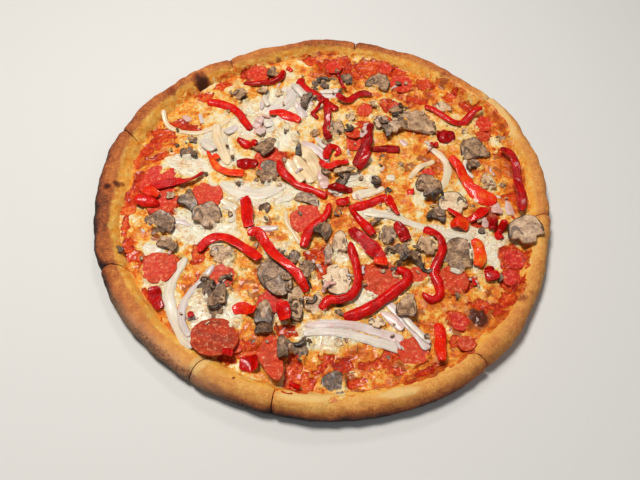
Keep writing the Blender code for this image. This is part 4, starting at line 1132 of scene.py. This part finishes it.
def makeStrip(master, name, entry, cut, heap, node=None):
    startWidth, endWidth, tint, lean, path = entry
    steps = stripForm["steps"]
    line = curveThrough([spot(p) for p in path], steps)
    ahead = np.gradient(line, axis=0)
    ahead /= np.linalg.norm(ahead, axis=1, keepdims=True)
    side = np.stack([-ahead[:, 1], ahead[:, 0]], axis=1)
    widths = np.linspace(startWidth, endWidth, steps) * mm * cut["wider"]
    if node:
        tree = BVHTree.FromObject(cadNodes[node], bpy.context.evaluated_depsgraph_get())
        base = smoothAlong(filled([castTop(tree, x, y) for x, y in line]) - cut["node"], 6)
    else:
        base = np.zeros(steps)
        for share in (-0.4, -0.2, 0.0, 0.2, 0.4):
            at = line + side * (widths * share)[:, None]
            base = np.maximum(base, heap.top(at[:, 0], at[:, 1]))
        base = smoothAlong(base, 24) - stripForm["sink"]
    piece = copyOf(master, name)
    points = pointsOf(piece)
    along = points[:, 2] + 0.5
    around = np.arctan2(points[:, 1], points[:, 0])
    stops = along * (steps - 1)
    seed = seedOf(name)
    length = np.cumsum(np.linalg.norm(np.diff(line, axis=0), axis=1))[-1]

    def read(values):
        return np.interp(stops, np.arange(steps), values)

    # widths, with blunt ends that narrow more or less
    often = stripForm["often"]
    wide = read(widths) * (1.0 + stripForm["wobble"] * ripple(along * length * often["wobble"], seed, 0.0))
    tip = np.minimum(along, 1.0 - along) * length / np.maximum(wide * cut["blunt"], 1e-6)
    ends = 0.55 + 0.45 * np.sqrt(np.clip(1.0 - (1.0 - np.clip(tip, 0.0, 1.0)) ** 2.2, 0.0, 1.0))
    narrow = cut["taper"] * (0.5 + 0.5 * math.sin(seed)) * min(1.0, length / stripForm["longEnough"])
    last = np.clip(1.0 - (1.0 - along) * length / stripForm["lastTaper"], 0.0, 1.0)
    first = np.clip(1.0 - along * length / stripForm["firstTaper"], 0.0, 1.0)
    ends = ends * (1.0 - narrow * last ** 2) * (1.0 - (cut["taper"] - narrow) * first ** 2)

    # the section: a flat oblong, arched and curled, with ragged edges
    cosine = squared(np.cos(around), stripForm["square"])
    sine = squared(np.sin(around), stripForm["square"])
    ragged = np.array([noise.noise(Vector((a, seed, math.copysign(20.0, c))))
                       for a, c in zip(along * length * often["ragged"], cosine)])
    across = wide * 0.5 * ends * cosine * (1.0 + stripForm["ragged"] * ragged)
    arch = (cut["thick"] - cut["wall"]) * (1.0 - np.abs(cosine) ** 2.2)
    arch = arch + cut["curl"] * math.sin(seed * 3.0) * (np.abs(cosine) ** 2.0 - 0.4) * wide / (10.0 * mm)
    up = arch + cut["wall"] * (0.5 + 0.5 * sine * (0.8 + 0.2 * ends))
    tilt = np.radians(lean + cut["twist"] * ripple(along * length * often["twist"], seed, 7.0))
    half = cut["thick"] / 2
    across, up = (across * np.cos(tilt) - (up - half) * np.sin(tilt),
                  half + across * np.sin(tilt) + (up - half) * np.cos(tilt))
    swell = ripple(along * length * often["swell"], seed, 40.0) * cut["thick"] * stripForm["swell"]
    x = read(line[:, 0]) + read(side[:, 0]) * across
    y = read(line[:, 1]) + read(side[:, 1]) * across
    points = np.stack([x, y, read(base) + up + swell], axis=1)
    movePoints(piece, points)
    paint(piece, "tint", np.full(len(points), tint))
    unwrap(piece, np.stack([(around / math.tau) % 1.0, along * length * cut["grain"]], axis=1))
    heap.stamp(points)
    return piece


def makePepper(master, name, entry, heap, node=None):
    return makeStrip(master, name, entry, pepperCut, heap, node)


def makeOnion(master, name, entry, heap, node=None):
    return makeStrip(master, name, entry, onionCut, heap, node)


def mushroomOutline(kind):  # a half slice with its stalk, a cap, or a thin one through the gills
    half = kind == "half"
    share = 0.70 if half else 1.0
    low = 0.5 - share
    dome = [(0.5 * math.cos(math.pi * k / 10), low + share * math.sin(math.pi * k / 10) ** 0.75)
            for k in range(11)]
    if half:
        under = [(-0.42, low - 0.08), (-0.24, low - 0.05), (-0.19, -0.34), (-0.22, -0.5)]
    elif kind == "gill":
        under = [(-0.40, low - 0.02), (-0.18, low + 0.16)]
    else:
        under = [(-0.40, low - 0.03), (-0.16, low + 0.03)]
    return dome + under + [(-px, py) for px, py in reversed(under)]


def radialReach(outline, centre, angles):  # distance from the centre to the outline
    ring = np.array(outline + outline[:1]) - np.array(centre)
    reach = np.zeros(len(angles))
    for k, angle in enumerate(angles):
        ray = np.array([math.cos(angle), math.sin(angle)])
        for a, b in zip(ring[:-1], ring[1:]):
            edge = b - a
            cross = ray[0] * edge[1] - ray[1] * edge[0]
            if abs(cross) < 1e-12:
                continue
            far = (a[0] * edge[1] - a[1] * edge[0]) / cross
            share = (a[0] * ray[1] - a[1] * ray[0]) / cross
            if far > 0.0 and -1e-9 <= share <= 1.0 + 1e-9:
                reach[k] = max(reach[k], far)
    return reach


def restPlane(points, heap):  # lowest tilted plane that clears the heap
    middle = points.mean(axis=0)
    offsets = points - middle
    heights = heap.top(points[:, 0], points[:, 1])
    best = None
    slopes = np.linspace(-rest["slope"], rest["slope"], rest["tries"])
    for slopeX in slopes:
        for slopeY in slopes:
            gaps = heights - offsets @ np.array([slopeX, slopeY])
            lift = float(np.percentile(gaps, rest["clear"]))
            cost = lift + rest["cost"] * (slopeX ** 2 + slopeY ** 2)
            if best is None or cost < best[0]:
                best = (cost, lift, slopeX, slopeY)
    return middle, best[1] - rest["sink"], best[2], best[3]


def nodePlane(node, points, thick):  # the plane on which the CAD piece lies
    tree = BVHTree.FromObject(cadNodes[node], bpy.context.evaluated_depsgraph_get())
    tops = np.array([castTop(tree, p[0], p[1]) for p in points])
    good = ~np.isnan(tops)
    middle = points.mean(axis=0)
    offsets = points[good] - middle
    system = np.stack([np.ones(good.sum()), offsets[:, 0], offsets[:, 1]], axis=1)
    solved = np.linalg.lstsq(system, tops[good], rcond=None)[0]
    return middle, solved[0] - thick, solved[1], solved[2]


def makeFlat(master, name, outline, cut, tint, heap, node=None, marks=None):
    # shapes the round blank to an outline and lays it on the heap
    centre = marks["centre"] if marks else np.mean(outline, axis=0)
    piece = copyOf(master, name)
    points = pointsOf(piece)
    seed = seedOf(name)
    phi = np.arctan2(points[:, 1], points[:, 0])
    theta = np.arccos(np.clip(points[:, 2], -1.0, 1.0)) / math.pi
    steps = np.round(np.unique(np.round(phi, 4)), 4)
    reach = radialReach(outline, centre, steps)
    for _ in range(2):
        reach = (np.roll(reach, 1) + 2.0 * reach + np.roll(reach, -1)) / 4.0
    reach = np.interp(phi, steps, reach)
    fold = 1.0 - np.abs(theta - 0.5) * 2.0
    spread = 1.0 - (1.0 - np.clip(fold * 1.12, 0.0, 1.0)) ** 1.35
    face = flatForm["face"]  # past it the blank is the slice's side
    bulge = 1.0 + flatForm["bulge"] * (fold - face) / (1.0 - face)
    sideways = np.where(fold > face, bulge, np.clip(spread, 0.0, 1.0))
    bulk = np.sqrt(np.clip(1.0 - np.clip(fold, 0.0, 1.0) ** flatForm["blunt"], 0.0, 1.0))
    up = np.where(theta < 0.5, 0.5 + 0.5 * bulk, 0.5 - 0.5 * bulk)
    wave, jag = (np.array([noise.noise(Vector((math.cos(p) * often, math.sin(p) * often, seed)))
                           for p in phi]) for often in (1.6, 4.5))
    reach = reach * (1.0 + flatForm["wave"] * wave + flatForm["jag"] * jag)
    x = centre[0] + np.cos(phi) * reach * sideways
    y = centre[1] + np.sin(phi) * reach * sideways
    if node:
        plane = nodePlane(node, np.stack([x, y], axis=1)[fold < 0.6], cut["thick"])
    else:
        plane = restPlane(np.stack([x, y], axis=1)[fold < 0.9], heap)
    middle, lift, slopeX, slopeY = plane
    size = np.sqrt(np.mean(reach ** 2))
    often = flatForm["bends"]
    bend = np.array([noise.noise(Vector((a * often, b * often, seed))) for a, b in zip(x, y)])
    ground = lift + (x - middle[0]) * slopeX + (y - middle[1]) * slopeY
    curl = (sideways ** 3) * np.clip(wave + 0.15, 0.0, 1.0) * cut["curl"] * mm
    dish = cut["dish"] * (sideways ** 2) * size
    points = np.stack([x, y, ground + up * cut["thick"] + bend * cut["bend"] * mm + curl + dish], axis=1)
    movePoints(piece, points)
    skin = np.clip((sideways - 0.85 - 0.08 * wave) / 0.10, 0.0, 1.0)
    if marks:
        gill, skin = mushroomMarks(marks, x, y, skin)
        paint(piece, "gill", gill)
    paint(piece, "tint", np.full(len(points), tint))
    paint(piece, "skin", skin)
    heap.stamp(points)
    return piece


def mushroomMarks(marks, x, y, skin):  # dark gills under the cap, thin skin over it
    place = marks["place"]
    u, v = turnBack(x - place[0], y - place[1], marks["heading"] - 90.0)
    u, v = u / marks["width"], v / marks["length"]
    half = marks["kind"] == "half"
    height = (v + 0.20) / 0.70 if half else v + 0.5
    aside = np.clip((np.abs(u) * 2.0 - gills["from"]) / gills["over"], 0.0, 1.0)
    bow = np.sin(math.pi * aside)
    if marks["kind"] == "gill":
        band = np.exp(-((height - gills["wideArc"] * bow - gills["wideLow"]) / gills["wide"]) ** 2)
    else:  # one side of the stalk shows its gills more than the other
        left = min(1.0, max(0.0, 0.5 + 2.5 * math.sin(place[0] * 917.0 + place[1] * 431.0)))
        sided = gills["faint"] + (1.0 - gills["faint"]) * np.where(u < 0.0, left, 1.0 - left)
        arc = gills["low"] + gills["arc"] * bow
        band = np.exp(-((height - arc) / gills["thin"][marks["kind"]]) ** 2)
        band = band * (aside > 0.0) * (aside < 1.0) * sided
    return band, skin * np.where(height > 0.02, 1.0, 0.35)


def makeMushroom(master, name, entry, heap, node=None):
    x, y, width, length, heading, kind, tint = entry
    place = spot((x, y))
    turn = math.radians(heading - 90.0)
    outline = []
    for across, along in mushroomOutline(kind):
        dx, dy = across * width * mm, along * length * mm
        outline.append((place[0] + dx * math.cos(turn) - dy * math.sin(turn),
                        place[1] + dx * math.sin(turn) + dy * math.cos(turn)))
    shift = 0.02 if kind == "half" else 0.12
    centre = np.array([place[0] - shift * length * mm * math.sin(turn),
                       place[1] + shift * length * mm * math.cos(turn)])
    marks = {"centre": centre, "place": place, "width": width * mm, "length": length * mm,
             "heading": heading, "kind": kind}
    small = min(1.0, 0.5 + width * length / mushroomCut["fullSize"])
    thick = mushroomCut["thick"] * (1.0 if node else small)
    tint = tint * (0.75 if kind == "gill" else 1.0)
    return makeFlat(master, name, outline, dict(mushroomCut, thick=thick), tint, heap, node, marks)


def makeSalami(master, name, entry, heap, node=None):
    x, y, radius, tint = entry
    place = spot((x, y))
    turns = np.linspace(0.0, math.tau, salamiCut["sides"], endpoint=False)
    outline = [(place[0] + radius * mm * math.cos(t), place[1] + radius * mm * math.sin(t)) for t in turns]
    return makeFlat(master, name, outline, salamiCut, tint, heap, node)


def makeCrumbs(strip, blank, heap):  # shreds of onion and mushroom between the toppings
    onions, mushrooms = [], []
    for k in range(crumbs["count"]):
        pull = 0.5 + 0.5 * math.sin(k * 12.9898)
        turn = k * crumbs["turn"] + 0.6 * pull
        far = crumbs["reach"] * math.sqrt((k + 0.5) / crumbs["count"])
        x, y = far * math.cos(turn), far * math.sin(turn)
        heading = k * 1.7
        if k % 5 < 2:
            long = 4.0 + 7.0 * pull
            bend = (x + 1.5 * math.sin(k), y + 1.5 * math.cos(k))
            path = [(x - long / 2 * math.cos(heading), y - long / 2 * math.sin(heading)), bend,
                    (x + long / 2 * math.cos(heading), y + long / 2 * math.sin(heading))]
            entry = (1.4 + pull, 1.6 + 1.5 * pull, 0.1 + 0.7 * pull, 0, path)
            onions.append(makeOnion(strip, f"onionShred{k}", entry, heap))
        else:
            wide = 3.0 + 4.0 * pull
            kind = ("half", "gill", "cap")[k % 3]
            entry = (x, y, wide, wide * (0.7 + 0.5 * math.sin(k)) + 1.0, math.degrees(heading), kind,
                     0.35 + 0.4 * pull)
            mushrooms.append(makeMushroom(blank, f"mushroomShred{k}", entry, heap))
    return onions, mushrooms


def makeCurls(strip, name, places, dark, opened, heap):  # short arcs, flatter when more opened
    made = []
    for k, (x, y) in enumerate(places):
        pull = 0.5 + 0.5 * math.sin(k * 7.31)
        radius = (curlForm["radius"][0] + curlForm["radius"][1] * pull) * opened
        span = (curlForm["arc"][0] + curlForm["arc"][1] * math.cos(k * 3.7)) / opened ** 1.5
        start = k * curlForm["step"]
        back = 1.0 - 1.0 / opened
        path = []
        for share in (0.0, 0.25, 0.5, 0.75, 1.0):
            turn = start + span * share
            path.append((x + radius * (math.cos(turn) - math.cos(start) * back),
                         y + radius * curlForm["flat"] * (math.sin(turn) - math.sin(start) * back)))
        entry = (2.2 + 1.6 * pull, 1.6 + 1.2 * pull, dark - 0.35 + 0.6 * pull, 20.0 - 40.0 * pull, path)
        made.append(makeStrip(strip, f"{name}{k}", entry, onionCut, heap))
    return made


def lay(make, master, name, entries, heap):  # small pieces of one kind, to be joined later
    return [make(master, f"{name}{i}", entry, heap) for i, entry in enumerate(entries)]


def layNodes(make, master, name, entries, heap, look):  # a finished piece for each CAD node
    for i, entry in enumerate(entries, start=1):
        node = f"{name}_{i}"
        dress(make(master, f"{name}{i}", entry, heap, node), look, [node])


def makeToppings(heap):
    pepper, onion = pepperRecipe(), onionRecipe()
    mushroom, salami = mushroomRecipe(), salamiRecipe()
    strip, curlStrip, smallStrip = (straightStrip(*sides) for sides in blanks["strips"])
    blank, smallBlank = (flatBlank(*sides) for sides in blanks["rounds"])

    lowSalami = lay(makeSalami, blank, "salamiLow", salamiExtras, heap)
    withSalami = heap.height.copy()
    lowOnion = lay(makeOnion, strip, "onionLow", onionExtras, heap)
    heap.bare = (heap.height > withSalami + 0.2 * mm).astype(float)
    layNodes(makeSalami, blank, "salami", salamiNodes, heap, salami)
    outline = [tuple(spot(p)) for p in halfSalami]
    half = makeFlat(blank, "salamiHalf", outline, dict(salamiCut, dish=0.0), 0.6, heap, "salami_half")
    dress(half, salami, ["salami_half"])
    print("salami laid")

    shreds, bits = makeCrumbs(smallStrip, smallBlank, heap)
    layNodes(makeMushroom, blank, "mushroom", mushroomNodes, heap, mushroom)
    moreMushrooms = lay(makeMushroom, blank, "mushroomMore", mushroomExtras, heap)
    curls = makeCurls(curlStrip, "mushroomCurl", mushroomCurls, 0.64, 1.0, heap)
    slivers = makeCurls(curlStrip, "onionSliver", onionSlivers, 0.7, 2.4, heap)
    heap.lowTop = heap.height.copy()
    heap.lowUnder = heap.under.copy()
    heap.under[:] = 1.0
    print("mushrooms laid")

    layNodes(makeOnion, strip, "onion", onionNodes, heap, onion)
    layNodes(makePepper, strip, "pepper", pepperNodes, heap, pepper)
    morePeppers = lay(makePepper, strip, "pepperMore", pepperExtras, heap)
    dress(joined(lowSalami, "salamiMore"), salami, [])
    dress(joined(lowOnion + shreds + slivers, "onionMore"), onion, [])
    dress(joined(curls, "mushroomCurls"), mushroom, [])
    dress(joined(moreMushrooms + bits, "mushroomMore"), mushroom, [])
    dress(joined(morePeppers, "pepperMore"), pepper, [])
    for master in (strip, curlStrip, smallStrip, blank, smallBlank):
        bpy.data.objects.remove(master)
    print("peppers and onions laid")


def makeStage():
    room = {"size": 6.0, "floor": tone(222, 220, 216), "sky": (0.90, 0.95, 1.0, 1.0), "skyPower": 0.095}
    deselect()
    bpy.ops.mesh.primitive_plane_add(size=room["size"])
    floor = bpy.context.object
    floor.name = "floor"
    floor.data.materials.append(Recipe("paleFloor", Roughness=0.8, Base_Color=room["floor"]).material)
    world = bpy.data.worlds.new("studio")
    world.use_nodes = True
    world.node_tree.nodes["Background"].inputs[0].default_value = room["sky"]
    world.node_tree.nodes["Background"].inputs[1].default_value = room["skyPower"]
    bpy.context.scene.world = world
    # name, place, size, power and colour
    lamps = [("key", (-0.32, 0.14, 1.25), 0.30, 15.1, (1.0, 0.97, 0.92)),
             ("fill", (0.7, -0.6, 0.9), 0.9, 1.35, (0.95, 0.97, 1.0)),
             ("back", (0.05, 0.75, 1.05), 0.2, 2.2, (1.0, 1.0, 1.0))]
    for name, place, size, power, colour in lamps:
        lamp = bpy.data.lights.new(name, "AREA")
        lamp.size = size
        lamp.energy = power
        lamp.color = colour
        holder = bpy.data.objects.new(name, lamp)
        holder.location = place
        holder.rotation_mode = "QUATERNION"
        holder.rotation_quaternion = Vector(place).to_track_quat("Z", "Y")
        bpy.context.scene.collection.objects.link(holder)
    bpy.context.scene.view_settings.view_transform = "Standard"
    print("stage set")


def makeCamera():
    tilt, roll = math.radians(eye["tilt"]), math.radians(eye["roll"])
    ahead = Vector((0.0, math.cos(tilt), -math.sin(tilt)))
    right = Vector((1.0, 0.0, 0.0))
    up = right.cross(ahead)
    across = right * math.cos(roll) + up * math.sin(roll)
    upwards = up * math.cos(roll) - right * math.sin(roll)
    lens = bpy.data.cameras.new("camera")
    lens.lens = eye["lens"]
    lens.sensor_width = 36.0
    lens.clip_start = 0.01
    holder = bpy.data.objects.new("camera", lens)
    turned = Matrix((across, upwards, -ahead)).transposed().to_4x4()
    turned.translation = Vector(((eye["foot"][0] + eye["shift"]) * mm, eye["foot"][1] * mm,
                                 eye["height"] * mm))
    holder.matrix_world = turned
    bpy.context.scene.collection.objects.link(holder)
    bpy.context.scene.camera = holder


makeCamera()
makeStage()
heap = Heap()
makeToppings(heap)
makeCrust(crustRecipe())
makeCheese(cheeseRecipe(), heap)
